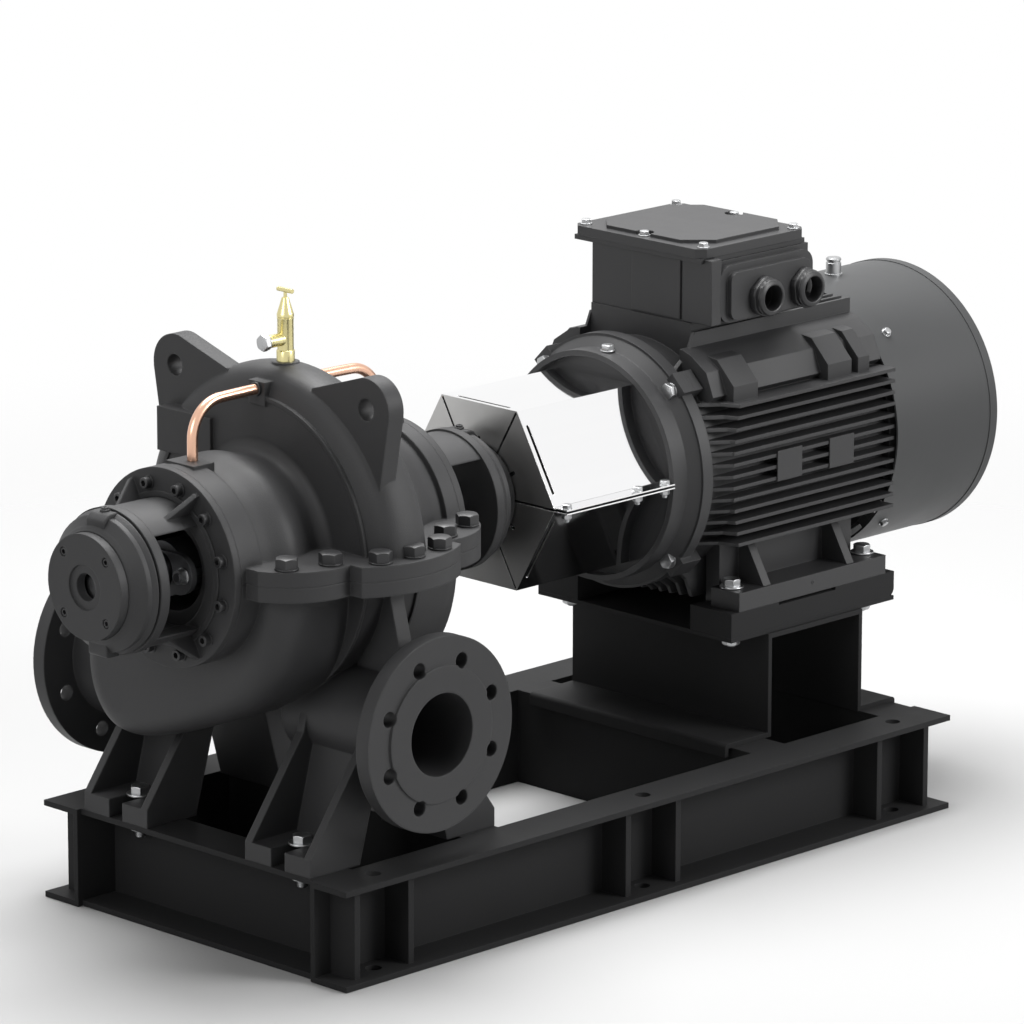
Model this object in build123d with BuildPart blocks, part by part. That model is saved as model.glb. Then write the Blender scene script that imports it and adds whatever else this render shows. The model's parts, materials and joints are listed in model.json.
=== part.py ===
import math
import os

from build123d import *

os.makedirs("parts", exist_ok=True)

# Driving sizes in mm. X runs along the shaft to the motor, Y to the suction side, Z up.
# The origin is on the ground, in the middle of the anchor holes.
BASE_L = 1210.0
BASE_W = 604.0
BASE_H = 140.0
FLANGE_W = 69.0
CHANNEL_T = 8.0
STIFF_T = 10.0
STIFF_INSET = 15.0
STIFF_PITCH = 100.0
ANCHOR_R = 11.0
ANCHOR_END = 85.0
ANCHOR_EDGE = 36.0
END_INSET = 8.0

# Pump casing.
AXIS_Z = 535.5
NOZZLE_Z = 320.0
DISCHARGE_Y = -300.0
SUCTION_Y = 356.0
SPLIT_T = 21.0
CROWN_R = 247.0
SEAM_R = 206.0
SEAM_S = 50.0
LIP_T = 3.0
LIP_W = 5.0
CHAMBER_R = 141.0
WAIST_R = 130.0
RING_R = 137.0
RING_FRONT = 172.0
RING_S_NDE = 211.0
RING_S_DE = 196.0
PAD_S = (158.0, 195.0)
CHEST_S = 174.0
CHEST_EDGE = 40.0
WING_R = 100.0
WING_S = 109.0
WING_Y = 122.0
LOBE_R = 158.0
LOBE_Y = 114.0
LOBE_S = 92.0
FLANGE_END = 202.0
SPLIT_BOLTS = ((-168, 178), (-107, 198), (-55, 240), (0, 246), (55, 240), (107, 198), (168, 178))
SPLIT_BOLT_R = 9.0
EAR_Y = 188.0
EAR_Z = 752.0
EAR_R = 43.0
EAR_T = 28.0
EAR_HOLE_R = 15.0
PORT_Z = 751.0
PORT_S = 54.0
PIPE_R = 5.0
PIPE_GAP = 0.3
VENT_R = 11.5

# Pump nozzles.
DIS_OD = 270.0
DIS_PCD = 206.0
DIS_BORE_R = 57.5
DIS_T = 26.0
DIS_FACE_R = 95.0
DIS_NECK_R = 70.0
SUC_OD = 304.0
SUC_PCD = 240.0
SUC_BORE_R = 76.0
SUC_T = 25.0
SUC_FACE_R = 108.0
SUC_NECK_R = 98.0
FACE_STEP = 3.0
NOZZLE_HOLES = 8
NOZZLE_HOLE_R = 11.0

# Pump feet.
FOOT_S = 173.0
FOOT_L = 91.0
FOOT_W = 128.0
FOOT_EDGE = 140.0
FOOT_T = 26.0
FOOT_SLOT = 27.0
FOOT_BOLT_S = 128.0
GUSSET_T = 13.0

# Bearing brackets.
BRACKET_T = 11.5
ARM_R = 97.0
ARM_BORE_R = 80.0
WINDOW_H = 70.0
DRUM_S = 305.0
COLLAR_L = 15.0
CAP_S = 350.0
CAP_T = 17.0
CAP_R = 72.5
CAP_BOLT_R = 59.0
SHAFT_R = 22.0
TURN_GAP = 5.0
RUN_GAP = 0.08

# Motor. Its lengths are counted from the front of its frame.
TRAIN_L = 649.0
FRAME_L = 372.0
CORE_R = 172.0
FIN_R = 193.0
FIN_T = 5.0
FIN_PITCH = 16.8
FIN_TAPER = 32.0
MOTOR_FOOT_Z = 335.5
COWL_R = 199.0
COWL_T = 3.0
COWL_L = 202.0
RIM_L = 15.0
MOTOR_SHAFT_R = 27.5
FOOT_D = 48.0
FOOT_SPAN = 310.0
FOOT_H = 27.5
PAD_W = 55.0
SHIELD_L = 62.0
SHIELD_R = 166.0
DISH_R = 158.0
DISH_D = 18.0
HOUSING_R = 62.0
BOSSES = ((47.0, 50.0), (244.0, 50.0), (308.0, 24.0))
LUG_R = 192.0
LUG_W = 34.0
FOOT_RIB_D = (55.0, 231.0)
FOOT_RIB_T = 15.0

# Terminal box.
BOX_D = 45.0
BOX_L = 204.0
BOX_H = 97.0
BOX_T = 8.0
BOX_Y = 98.0
BOX_Z0 = 741.0
BAY_Y = 128.0
LID_Y = 127.0
NECK_L = 150.0
GLAND_D = (141.0, 225.0)
GLAND_Z = 773.0
GLAND_R = 18.0
PLATE_D = (122.0, 231.5)

# Motor pedestal.
RAIL_D = 32.0
RAIL_L = 345.0
RAIL_W = 80.0
RAIL_Y = 192.0
RAIL_H = 36.5
PLATE_T = 6.0
SHEET_T = 7.0
LIP_H = 12.0
LIP_GAP = 0.3
PED_Y = 195.0
PED_D = 107.0
PED_TREAD = 66.0
MOTOR_BOLT_D = (67.0, 343.0)
MOTOR_BOLT_Y = 159.0
BOLT_HOLE_R = 9.5

# Coupling and its guard.
HUB_R = 62.0
GUARD_S = 368.0
GUARD_R = 148.0
GUARD_T = 2.0
GUARD_OPEN_R = 67.0
GUARD_LIP = 22.0
GUARD_SEAM = 3.0
GUARD_SLIT = 3.6
VENT_L = 104.0
VENT_W = 4.5

# Places that follow from the sizes above.
WEB_Y = BASE_W / 2 - FLANGE_W
ANCHOR_X = BASE_L / 2 - ANCHOR_END
ANCHOR_Y = BASE_W / 2 - ANCHOR_EDGE
PUMP_END_TIP = -BASE_L / 2 + END_INSET
MOTOR_END_TIP = BASE_L / 2 - END_INSET
PUMP_X = PUMP_END_TIP + FOOT_S
INNER_TIP = PUMP_X + FOOT_S
FOOT_Y = BASE_W / 2 - FOOT_EDGE
MOTOR_X0 = PUMP_X + TRAIN_L
MOTOR_X1 = MOTOR_X0 + FRAME_L
RAIL_X0 = MOTOR_X0 + RAIL_D
RAIL_X1 = RAIL_X0 + RAIL_L
RAIL_Z0 = MOTOR_FOOT_Z - RAIL_H
PLATE_Z0 = RAIL_Z0 - PLATE_T
PED_X0 = MOTOR_X0 + PED_D
PED_X1 = MOTOR_END_TIP - PED_TREAD
MOTOR_BOLT_X = (MOTOR_X0 + MOTOR_BOLT_D[0], MOTOR_X0 + MOTOR_BOLT_D[1])
SHIELD_X0 = MOTOR_X0 - SHIELD_L
GUARD_X0 = PUMP_X + GUARD_S
GUARD_X1 = SHIELD_X0 + DISH_D
COWL_X0 = MOTOR_X1 + 1
COWL_X1 = COWL_X0 + COWL_L
FOOT_X0 = MOTOR_X0 + FOOT_D
FOOT_X1 = FOOT_X0 + FOOT_SPAN
FOOT_TOP = MOTOR_FOOT_Z + FOOT_H
HUB_PUMP = (PUMP_X + 382, PUMP_X + 454)
HUB_MOTOR = (HUB_PUMP[1] + 14, HUB_PUMP[1] + 86)
FAN_X = (MOTOR_X1 + 43, MOTOR_X1 + 93)
VENT_Z0 = AXIS_Z + CROWN_R + 0.5
BOX_X0 = MOTOR_X0 + BOX_D
BOX_X1 = BOX_X0 + BOX_L
BOX_Z1 = BOX_Z0 + BOX_H
GLAND_X = (MOTOR_X0 + GLAND_D[0], MOTOR_X0 + GLAND_D[1])


def yz(x, y=0.0, z=AXIS_Z):
    return Plane(origin=(x, y, z), x_dir=(0, 1, 0), z_dir=(1, 0, 0))


def xz(y, x=0.0, z=0.0):
    return Plane(origin=(x, y, z), x_dir=(1, 0, 0), z_dir=(0, -1, 0))


def xy(z, x=0.0, y=0.0):
    return Plane(origin=(x, y, z), x_dir=(1, 0, 0), z_dir=(0, 0, 1))


def save(builder, label):
    builder.part.label = label
    export_step(builder.part, "parts/" + label + ".step")


def round_x(x0, x1, r, y=0.0, z=AXIS_Z, mode=Mode.ADD):
    with Locations(yz(min(x0, x1), y, z)):
        Cylinder(r, abs(x1 - x0), align=(Align.CENTER, Align.CENTER, Align.MIN), mode=mode)


def round_y(y0, y1, r, x, z, mode=Mode.ADD):
    with Locations(xz(max(y0, y1), x, z)):
        Cylinder(r, abs(y1 - y0), align=(Align.CENTER, Align.CENTER, Align.MIN), mode=mode)


def round_z(z0, z1, r, x, y, mode=Mode.ADD):
    with Locations(xy(min(z0, z1), x, y)):
        Cylinder(r, abs(z1 - z0), align=(Align.CENTER, Align.CENTER, Align.MIN), mode=mode)


def block(x0, x1, y0, y1, z0, z1, mode=Mode.ADD):
    with Locations(((x0 + x1) / 2, (y0 + y1) / 2, (z0 + z1) / 2)):
        Box(abs(x1 - x0), abs(y1 - y0), abs(z1 - z0), mode=mode)


def prism(plane, points, depth, mode=Mode.ADD):
    with BuildSketch(plane) as sk:
        with BuildLine():
            Polyline(*points, close=True)
        make_face()
    extrude(to_extrude=sk.sketch, amount=depth, mode=mode)


def ring_of(count, radius, start):
    turns = [math.radians(start + 360 / count * i) for i in range(count)]
    return [(radius * math.cos(a), radius * math.sin(a)) for a in turns]


def long_channel(side, label):
    outer = side * BASE_W / 2
    web = side * WEB_Y
    inside = side * (WEB_Y + CHANNEL_T)
    with BuildPart() as channel:
        with BuildSketch(yz(-BASE_L / 2, 0, 0)):
            with BuildLine():
                Polyline(
                    (outer, 0), (web, 0), (web, BASE_H), (outer, BASE_H), (outer, BASE_H - CHANNEL_T),
                    (inside, BASE_H - CHANNEL_T), (inside, CHANNEL_T), (outer, CHANNEL_T), close=True,
                )
            make_face()
        extrude(amount=BASE_L)
        edge = side * (BASE_W / 2 - STIFF_INSET)
        for middle in (-ANCHOR_X, 0.0, ANCHOR_X):
            for half in (-1, 1):
                x = middle + half * STIFF_PITCH / 2
                block(x - STIFF_T / 2, x + STIFF_T / 2, inside, edge, CHANNEL_T, BASE_H - CHANNEL_T)
            round_z(-1, BASE_H + 1, ANCHOR_R, middle, side * ANCHOR_Y, mode=Mode.SUBTRACT)
    save(channel, label)


def cross_profile(x_open, x_web):
    t = CHANNEL_T if x_web > x_open else -CHANNEL_T
    prism(xz(WEB_Y), (
        (x_open, 0), (x_web, 0), (x_web, BASE_H), (x_open, BASE_H), (x_open, BASE_H - CHANNEL_T),
        (x_web - t, BASE_H - CHANNEL_T), (x_web - t, CHANNEL_T), (x_open, CHANNEL_T),
    ), 2 * WEB_Y)


def foot_holes():
    for s in (-FOOT_BOLT_S, FOOT_BOLT_S):
        for y in (-FOOT_Y, FOOT_Y):
            round_z(BASE_H - 20, BASE_H + 1, BOLT_HOLE_R, PUMP_X + s, y, mode=Mode.SUBTRACT)


long_channel(-1, "base_channel_near")
long_channel(1, "base_channel_far")

with BuildPart() as end_channel_pump:
    cross_profile(PUMP_END_TIP, PUMP_END_TIP + FLANGE_W)
    foot_holes()
save(end_channel_pump, "end_channel_pump")

with BuildPart() as end_channel_motor:
    cross_profile(MOTOR_END_TIP, MOTOR_END_TIP - FLANGE_W)
save(end_channel_motor, "end_channel_motor")

with BuildPart() as cross_channels:
    cross_profile(INNER_TIP, INNER_TIP - FLANGE_W)
    cross_profile(RAIL_X0 + FLANGE_W, RAIL_X0)
    foot_holes()
save(cross_channels, "cross_channels")

# One bent sheet: it hooks over the cross channels at both ends and lifts the motor rails.
with BuildPart() as motor_pedestal:
    front = RAIL_X0 - SHEET_T
    rear = MOTOR_END_TIP + LIP_GAP
    top = PLATE_Z0
    low = BASE_H - LIP_H
    tread = BASE_H + SHEET_T
    with BuildSketch(xz(PED_Y)):
        with BuildLine():
            Polyline(
                (front - SHEET_T, low), (front, low), (front, BASE_H), (PED_X0 + SHEET_T, BASE_H),
                (PED_X0 + SHEET_T, top - SHEET_T), (PED_X1 - SHEET_T, top - SHEET_T),
                (PED_X1 - SHEET_T, BASE_H), (rear, BASE_H), (rear, low), (rear + SHEET_T, low),
                (rear + SHEET_T, tread), (PED_X1, tread), (PED_X1, top), (PED_X0, top),
                (PED_X0, tread), (front - SHEET_T, tread), close=True,
            )
        make_face()
    extrude(amount=2 * PED_Y)
    outer_bends = [e for e in motor_pedestal.edges().filter_by(Axis.Y)
                   if e.center().Z > tread - 0.1 and (e.center().X < front or e.center().X > rear)]
    fillet(outer_bends, SHEET_T - 1)
save(motor_pedestal, "motor_pedestal")

with BuildPart() as pedestal_top_plate:
    block(RAIL_X0, RAIL_X1, -RAIL_Y, RAIL_Y, PLATE_Z0, RAIL_Z0)
    for x in MOTOR_BOLT_X:
        for y in (-MOTOR_BOLT_Y, MOTOR_BOLT_Y):
            round_z(PLATE_Z0 - 1, RAIL_Z0 + 1, BOLT_HOLE_R, x, y, mode=Mode.SUBTRACT)
save(pedestal_top_plate, "pedestal_top_plate")

with BuildPart() as motor_rails:
    middle = sum(MOTOR_BOLT_X) / 2
    for side in (-1, 1):
        block(RAIL_X0, RAIL_X1, side * RAIL_Y, side * (RAIL_Y - RAIL_W), RAIL_Z0, MOTOR_FOOT_Z)
        block(middle - 74, middle + 46, side * (RAIL_Y + 10), side * (RAIL_Y - RAIL_W - 10),
              MOTOR_FOOT_Z - 4.5, MOTOR_FOOT_Z + 1, mode=Mode.SUBTRACT)
        for x in MOTOR_BOLT_X:
            round_z(RAIL_Z0 - 1, MOTOR_FOOT_Z + 1, BOLT_HOLE_R, x, side * MOTOR_BOLT_Y, mode=Mode.SUBTRACT)
    rear_corners = [e for e in motor_rails.edges().filter_by(Axis.Y)
                    if e.center().Z < RAIL_Z0 + 1 and e.center().X > RAIL_X1 - 1]
    fillet(rear_corners, 12)
save(motor_rails, "motor_rails")


def ring_end(side):
    return RING_S_DE if side > 0 else RING_S_NDE


def casing_profile():
    crown = SEAM_S - LIP_W / 2
    lip = SEAM_S + LIP_W / 2
    with BuildSketch(xz(0, PUMP_X, AXIS_Z)) as profile:
        with BuildLine():
            Line((0, 0), (0, CROWN_R))
            Spline((0, CROWN_R), (34, 236), (crown, SEAM_R), tangents=((1, 0), (0.35, -1)))
            Polyline((crown, SEAM_R), (crown, SEAM_R + LIP_T), (lip, SEAM_R + LIP_T), (lip, SEAM_R - 3),
                     (SEAM_S, SEAM_R - 3), (SEAM_S, WAIST_R + 20))
            ThreePointArc((SEAM_S, WAIST_R + 20), (54, WAIST_R + 6), (68, WAIST_R))
            Spline((68, WAIST_R), (93, WAIST_R + 6), (120, CHAMBER_R), (150, WAIST_R + 2),
                   (RING_FRONT - 3, WAIST_R), tangents=((1, 0), (1, 0)))
            Polyline((RING_FRONT - 3, WAIST_R), (RING_FRONT, RING_R), (RING_S_NDE, RING_R), (RING_S_NDE, 0),
                     (0, 0))
        make_face()
        mirror(about=Plane.YZ)
        with Locations((RING_S_NDE, 0)):
            Rectangle(2 * (RING_S_NDE - RING_S_DE), 4 * RING_R, mode=Mode.SUBTRACT)
    revolve(profiles=profile.sketch, axis=Axis((PUMP_X, 0, AXIS_Z), (1, 0, 0)), revolution_arc=360)


def split_flange(z0, z1):
    with BuildSketch(xy(z0, PUMP_X, 0)) as outline:
        Rectangle(2 * FLANGE_END, 2 * WING_Y + 20)
        for side in (-1, 1):
            with Locations((-WING_S, side * WING_Y), (WING_S, side * WING_Y)):
                Circle(WING_R)
            lobe_edge = side * (LOBE_Y + math.sqrt(LOBE_R ** 2 - LOBE_S ** 2))
            with BuildLine():
                Polyline((LOBE_S, lobe_edge), (LOBE_S, 0), (-LOBE_S, 0), (-LOBE_S, lobe_edge))
                ThreePointArc((-LOBE_S, lobe_edge), (0, side * (LOBE_Y + LOBE_R)), (LOBE_S, lobe_edge))
            make_face()
        Rectangle(2 * FLANGE_END, 4 * LOBE_R, mode=Mode.INTERSECT)
    extrude(to_extrude=outline.sketch, amount=z1 - z0)


def split_bolt_holes(z0, z1):
    for s, y in SPLIT_BOLTS:
        for side in (-1, 1):
            round_z(z0, z1, SPLIT_BOLT_R, PUMP_X + s, side * y, mode=Mode.SUBTRACT)


def shaft_tunnel():
    round_x(PUMP_X - 400, PUMP_X + 400, SHAFT_R + TURN_GAP, mode=Mode.SUBTRACT)
    for side in (-1, 1):
        seat = PUMP_X + side * ring_end(side)
        round_x(seat - side * 60, seat + side, 60, mode=Mode.SUBTRACT)
        round_x(seat, seat + side * 20, RING_R + 0.5, mode=Mode.SUBTRACT)


with BuildPart() as casing_upper:
    casing_profile()
    split(bisect_by=xy(AXIS_Z), keep=Keep.TOP)
    split_flange(AXIS_Z, AXIS_Z + SPLIT_T)
    ear_x = PUMP_X - 31
    for side in (-1, 1):
        prism(yz(ear_x, 0, 0), (
            (side * 60, EAR_Z - 60), (side * 84, EAR_Z + 12), (side * 175, EAR_Z + 41),
            (side * EAR_Y, EAR_Z), (side * (EAR_Y + EAR_R), EAR_Z - 6), (side * 213, 642), (side * 150, 640),
        ), EAR_T)
        round_x(ear_x, ear_x + EAR_T, EAR_R, side * EAR_Y, EAR_Z)
        round_x(ear_x - 5, ear_x + EAR_T + 30, EAR_HOLE_R, side * EAR_Y, EAR_Z, mode=Mode.SUBTRACT)
        block(PUMP_X, PUMP_X + side * PORT_S, -16, 16, PORT_Z - 20, PORT_Z + 13)
        block(PUMP_X + side * PAD_S[0], PUMP_X + side * PAD_S[1], -28, 28, AXIS_Z + 100, AXIS_Z + RING_R + 2)
    block(PUMP_X - 56, PUMP_X - 4, 91, 198, 635.5, 697)
    round_z(AXIS_Z + 200, VENT_Z0, 19, PUMP_X, 0)
    shaft_tunnel()
    split_bolt_holes(AXIS_Z - 1, AXIS_Z + SPLIT_T + 1)
save(casing_upper, "casing_upper")


def pump_foot(sx, side):
    def px(s):
        return PUMP_X + sx * s
    y0 = side * FOOT_Y - FOOT_W / 2
    y1 = side * FOOT_Y + FOOT_W / 2
    back = FOOT_S - FOOT_L
    block(px(FOOT_S), px(back), y0, y1, BASE_H, BASE_H + FOOT_T)
    for y in (y0 + GUSSET_T, y1):
        prism(xz(y), ((px(FOOT_S), BASE_H), (px(FOOT_S), BASE_H + FOOT_T), (px(76), 300), (px(66), 340),
                      (px(20), 360), (px(back), BASE_H)), GUSSET_T)
    prism(xz(y1 - 1), ((px(back), BASE_H), (px(back + 14), BASE_H), (px(40), 350), (px(20), 360)), FOOT_W - 2)
    slot_y = side * FOOT_Y
    block(px(FOOT_S + 1), px(FOOT_BOLT_S), slot_y - FOOT_SLOT / 2, slot_y + FOOT_SLOT / 2, BASE_H - 1,
          BASE_H + FOOT_T + 1, mode=Mode.SUBTRACT)
    round_z(BASE_H - 1, BASE_H + FOOT_T + 1, FOOT_SLOT / 2, px(FOOT_BOLT_S), slot_y, mode=Mode.SUBTRACT)


def pipe_flange(y_face, direction, od, raised_r, thick):
    y_rim = y_face - direction * FACE_STEP
    round_y(y_rim, y_face - direction * thick, od / 2, PUMP_X, NOZZLE_Z)
    round_y(y_face, y_rim, raised_r, PUMP_X, NOZZLE_Z)


def flange_holes(y_face, direction, pcd, thick):
    for dx, dz in ring_of(NOZZLE_HOLES, pcd / 2, 180 / NOZZLE_HOLES):
        round_y(y_face + direction, y_face - direction * (thick + 1), NOZZLE_HOLE_R, PUMP_X + dx,
                NOZZLE_Z + dz, mode=Mode.SUBTRACT)


# The suction chamber hangs under the shaft like a bag, deeper on the suction side.
with BuildPart() as casing_lower:
    with BuildSketch(yz(PUMP_X - CHEST_S, 0, 0), mode=Mode.PRIVATE) as chest:
        with BuildLine():
            Spline((-172, AXIS_Z), (-174, 476), (-135, 378), (-20, 307), (90, 268), (188, 266), (229, 322),
                   (226, 420), (205, AXIS_Z))
            Line((205, AXIS_Z), (-172, AXIS_Z))
        make_face()
    extrude(to_extrude=chest.sketch, amount=2 * CHEST_S)
    rims = [e for e in casing_lower.edges().filter_by(GeomType.BSPLINE)
            if abs(abs(e.center().X - PUMP_X) - CHEST_S) < 1]
    fillet(rims, CHEST_EDGE)
    round_x(PUMP_X - RING_S_NDE, PUMP_X + RING_S_DE, RING_R)
    round_x(PUMP_X - SEAM_S, PUMP_X + SEAM_S, SEAM_R)
    for side in (-1, 1):
        round_x(PUMP_X + side * (SEAM_S - LIP_W / 2), PUMP_X + side * (SEAM_S + LIP_W / 2), SEAM_R + LIP_T)
    with BuildSketch(xz(100, PUMP_X, 0), mode=Mode.PRIVATE) as suction_root:
        with Locations((0, 430)):
            Ellipse(150, 130)
    with BuildSketch(xz(SUCTION_Y - SUC_T, PUMP_X, 0), mode=Mode.PRIVATE) as suction_tip:
        with Locations((0, NOZZLE_Z)):
            Circle(SUC_NECK_R)
    loft(sections=[suction_root.sketch, suction_tip.sketch])
    pipe_flange(SUCTION_Y, 1, SUC_OD, SUC_FACE_R, SUC_T)
    round_y(DISCHARGE_Y + DIS_T - 1, -60, DIS_NECK_R, PUMP_X, NOZZLE_Z)
    pipe_flange(DISCHARGE_Y, -1, DIS_OD, DIS_FACE_R, DIS_T)
    split(bisect_by=xy(AXIS_Z), keep=Keep.BOTTOM)
    split_flange(AXIS_Z - SPLIT_T, AXIS_Z)
    prism(yz(PUMP_X - 12, 0, 0), ((-150, AXIS_Z - 10), (-212, AXIS_Z - SPLIT_T + 1), (-215, 490), (-231, 428),
                                  (-243, 380), (-150, 370)), 24)
    for sx in (-1, 1):
        for side in (-1, 1):
            pump_foot(sx, side)
    round_y(SUCTION_Y - 190, SUCTION_Y + 1, SUC_BORE_R, PUMP_X, NOZZLE_Z, mode=Mode.SUBTRACT)
    round_y(DISCHARGE_Y - 1, DISCHARGE_Y + 170, DIS_BORE_R, PUMP_X, NOZZLE_Z, mode=Mode.SUBTRACT)
    flange_holes(DISCHARGE_Y, -1, DIS_PCD, DIS_T)
    flange_holes(SUCTION_Y, 1, SUC_PCD, SUC_T)
    shaft_tunnel()
    split_bolt_holes(AXIS_Z - SPLIT_T - 1, AXIS_Z + 1)
save(casing_lower, "casing_lower")


# An open bracket: a flange, a tube with a window at each side, and a drum for the bearing.
def bearing_bracket(side, label):
    def px(s):
        return PUMP_X + side * s

    def span(s0, s1, r, mode=Mode.ADD):
        round_x(px(s0), px(s1), r, mode=mode)
    drum_r = ARM_R - 4
    root = ring_end(side)
    with BuildPart() as bracket:
        span(root, root + BRACKET_T, RING_R)
        span(root, DRUM_S, ARM_R)
        span(root - 1, DRUM_S, ARM_BORE_R, mode=Mode.SUBTRACT)
        for y_side in (-1, 1):
            block(px(root + BRACKET_T + 2), px(DRUM_S), 0, y_side * 120, AXIS_Z - WINDOW_H,
                  AXIS_Z + WINDOW_H, mode=Mode.SUBTRACT)
        span(DRUM_S, DRUM_S + COLLAR_L, ARM_R + 3)
        span(DRUM_S + COLLAR_L, CAP_S - 12, drum_r)
        with Locations(Plane(origin=(px(CAP_S - 12), 0, AXIS_Z), x_dir=(0, 1, 0), z_dir=(side, 0, 0))):
            Cone(drum_r, CAP_R + 4, 12, align=(Align.CENTER, Align.CENTER, Align.MIN))
        for z_side in (-1, 1):
            block(px(DRUM_S + COLLAR_L), px(CAP_S - 16), -14, 14, AXIS_Z + z_side * 60,
                  AXIS_Z + z_side * (ARM_R - 1))
        for angle in (60, 120, 240, 300):
            ca = math.cos(math.radians(angle))
            sa = math.sin(math.radians(angle))
            normal = Vector(0, -sa * side, ca * side)
            foot = Vector(px(root + BRACKET_T), 0, AXIS_Z) - normal * 3.5
            prism(Plane(origin=foot, x_dir=(side, 0, 0), z_dir=normal),
                  ((-1, ARM_R - 6), (44, ARM_R - 6), (44, ARM_R), (5, RING_R - 7), (-1, RING_R - 7)), 7)
        span(root - 1, DRUM_S + 8, SHAFT_R + TURN_GAP, mode=Mode.SUBTRACT)
        span(CAP_S - 12, CAP_S + 1, SHAFT_R + TURN_GAP, mode=Mode.SUBTRACT)
        span(DRUM_S + 7, CAP_S - 11, SHAFT_R + RUN_GAP, mode=Mode.SUBTRACT)
    save(bracket, label)


bearing_bracket(-1, "bearing_bracket_nde")
bearing_bracket(1, "bearing_bracket_de")

with BuildPart() as bearing_cap_nde:
    face = PUMP_X - CAP_S - CAP_T
    round_x(face, face + CAP_T, CAP_R)
    round_x(face - 1, face + 3, 31, mode=Mode.SUBTRACT)
    round_x(face - 1, face + CAP_T + 1, SHAFT_R - 3, mode=Mode.SUBTRACT)
    for y, z in ring_of(4, CAP_BOLT_R, 45):
        round_x(face - 1, face + 8, 6.5, y, AXIS_Z + z, mode=Mode.SUBTRACT)
save(bearing_cap_nde, "bearing_cap_nde")

with BuildPart() as bearing_cap_de:
    face = PUMP_X + CAP_S
    round_x(face, face + CAP_T - 1, CAP_R)
    round_x(face - 1, face + CAP_T, SHAFT_R + TURN_GAP, mode=Mode.SUBTRACT)
save(bearing_cap_de, "bearing_cap_de")


def gland(side, label):
    def span(s0, s1, r, y=0.0, mode=Mode.ADD):
        round_x(PUMP_X + side * s0, PUMP_X + side * s1, r, y, mode=mode)
    root = ring_end(side)
    front = root + 14
    with BuildPart() as ring:
        span(root - 60, front, 38)
        with BuildSketch(yz(PUMP_X + side * front - (0 if side > 0 else 9))) as plate:
            SlotOverall(130, 56)
        extrude(to_extrude=plate.sketch, amount=9)
        span(root - 61, front + 10, SHAFT_R + TURN_GAP, mode=Mode.SUBTRACT)
        for y in (-48, 48):
            span(root - 60, front + 22, 6, y)
    save(ring, label)


gland(-1, "gland_nde")
gland(1, "gland_de")

with BuildPart() as pump_shaft:
    round_x(PUMP_X - CAP_S + 4, HUB_PUMP[1] + 4, SHAFT_R)
save(pump_shaft, "pump_shaft")

with BuildPart() as coupling_hub_pump:
    round_x(HUB_PUMP[0], HUB_PUMP[1] - 16, 42)
    round_x(HUB_PUMP[1] - 18, HUB_PUMP[1], HUB_R)
    round_x(HUB_PUMP[0] - 1, HUB_PUMP[1] + 1, SHAFT_R, mode=Mode.SUBTRACT)
save(coupling_hub_pump, "coupling_hub_pump")

with BuildPart() as coupling_element:
    round_x(HUB_PUMP[1], HUB_MOTOR[0], HUB_R - 2)
    round_x(HUB_PUMP[1] - 1, HUB_MOTOR[0] + 1, 34, mode=Mode.SUBTRACT)
save(coupling_element, "coupling_element")

with BuildPart() as coupling_hub_motor:
    round_x(HUB_MOTOR[0], HUB_MOTOR[0] + 18, HUB_R)
    round_x(HUB_MOTOR[0] + 16, HUB_MOTOR[1], 46)
    round_x(HUB_MOTOR[0] - 1, HUB_MOTOR[1] + 1, MOTOR_SHAFT_R, mode=Mode.SUBTRACT)
save(coupling_hub_motor, "coupling_hub_motor")

with BuildPart() as motor_shaft:
    round_x(HUB_MOTOR[0] - 4, FAN_X[1] + 8, MOTOR_SHAFT_R)
save(motor_shaft, "motor_shaft")

with BuildPart() as cooling_fan:
    round_x(FAN_X[0], FAN_X[1], 46)
    round_x(FAN_X[0], FAN_X[0] + 6, 150)
    for i in range(9):
        a = math.radians(40 * i)
        blade = Plane(origin=(FAN_X[0] + 2, 0, AXIS_Z), x_dir=(0, math.cos(a), math.sin(a)), z_dir=(1, 0, 0))
        prism(blade, ((40, -2.5), (165, -2.5), (165, 2.5), (40, 2.5)), FAN_X[1] - FAN_X[0] - 2)
    round_x(FAN_X[0] - 1, FAN_X[1] + 1, MOTOR_SHAFT_R, mode=Mode.SUBTRACT)
save(cooling_fan, "cooling_fan")


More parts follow.
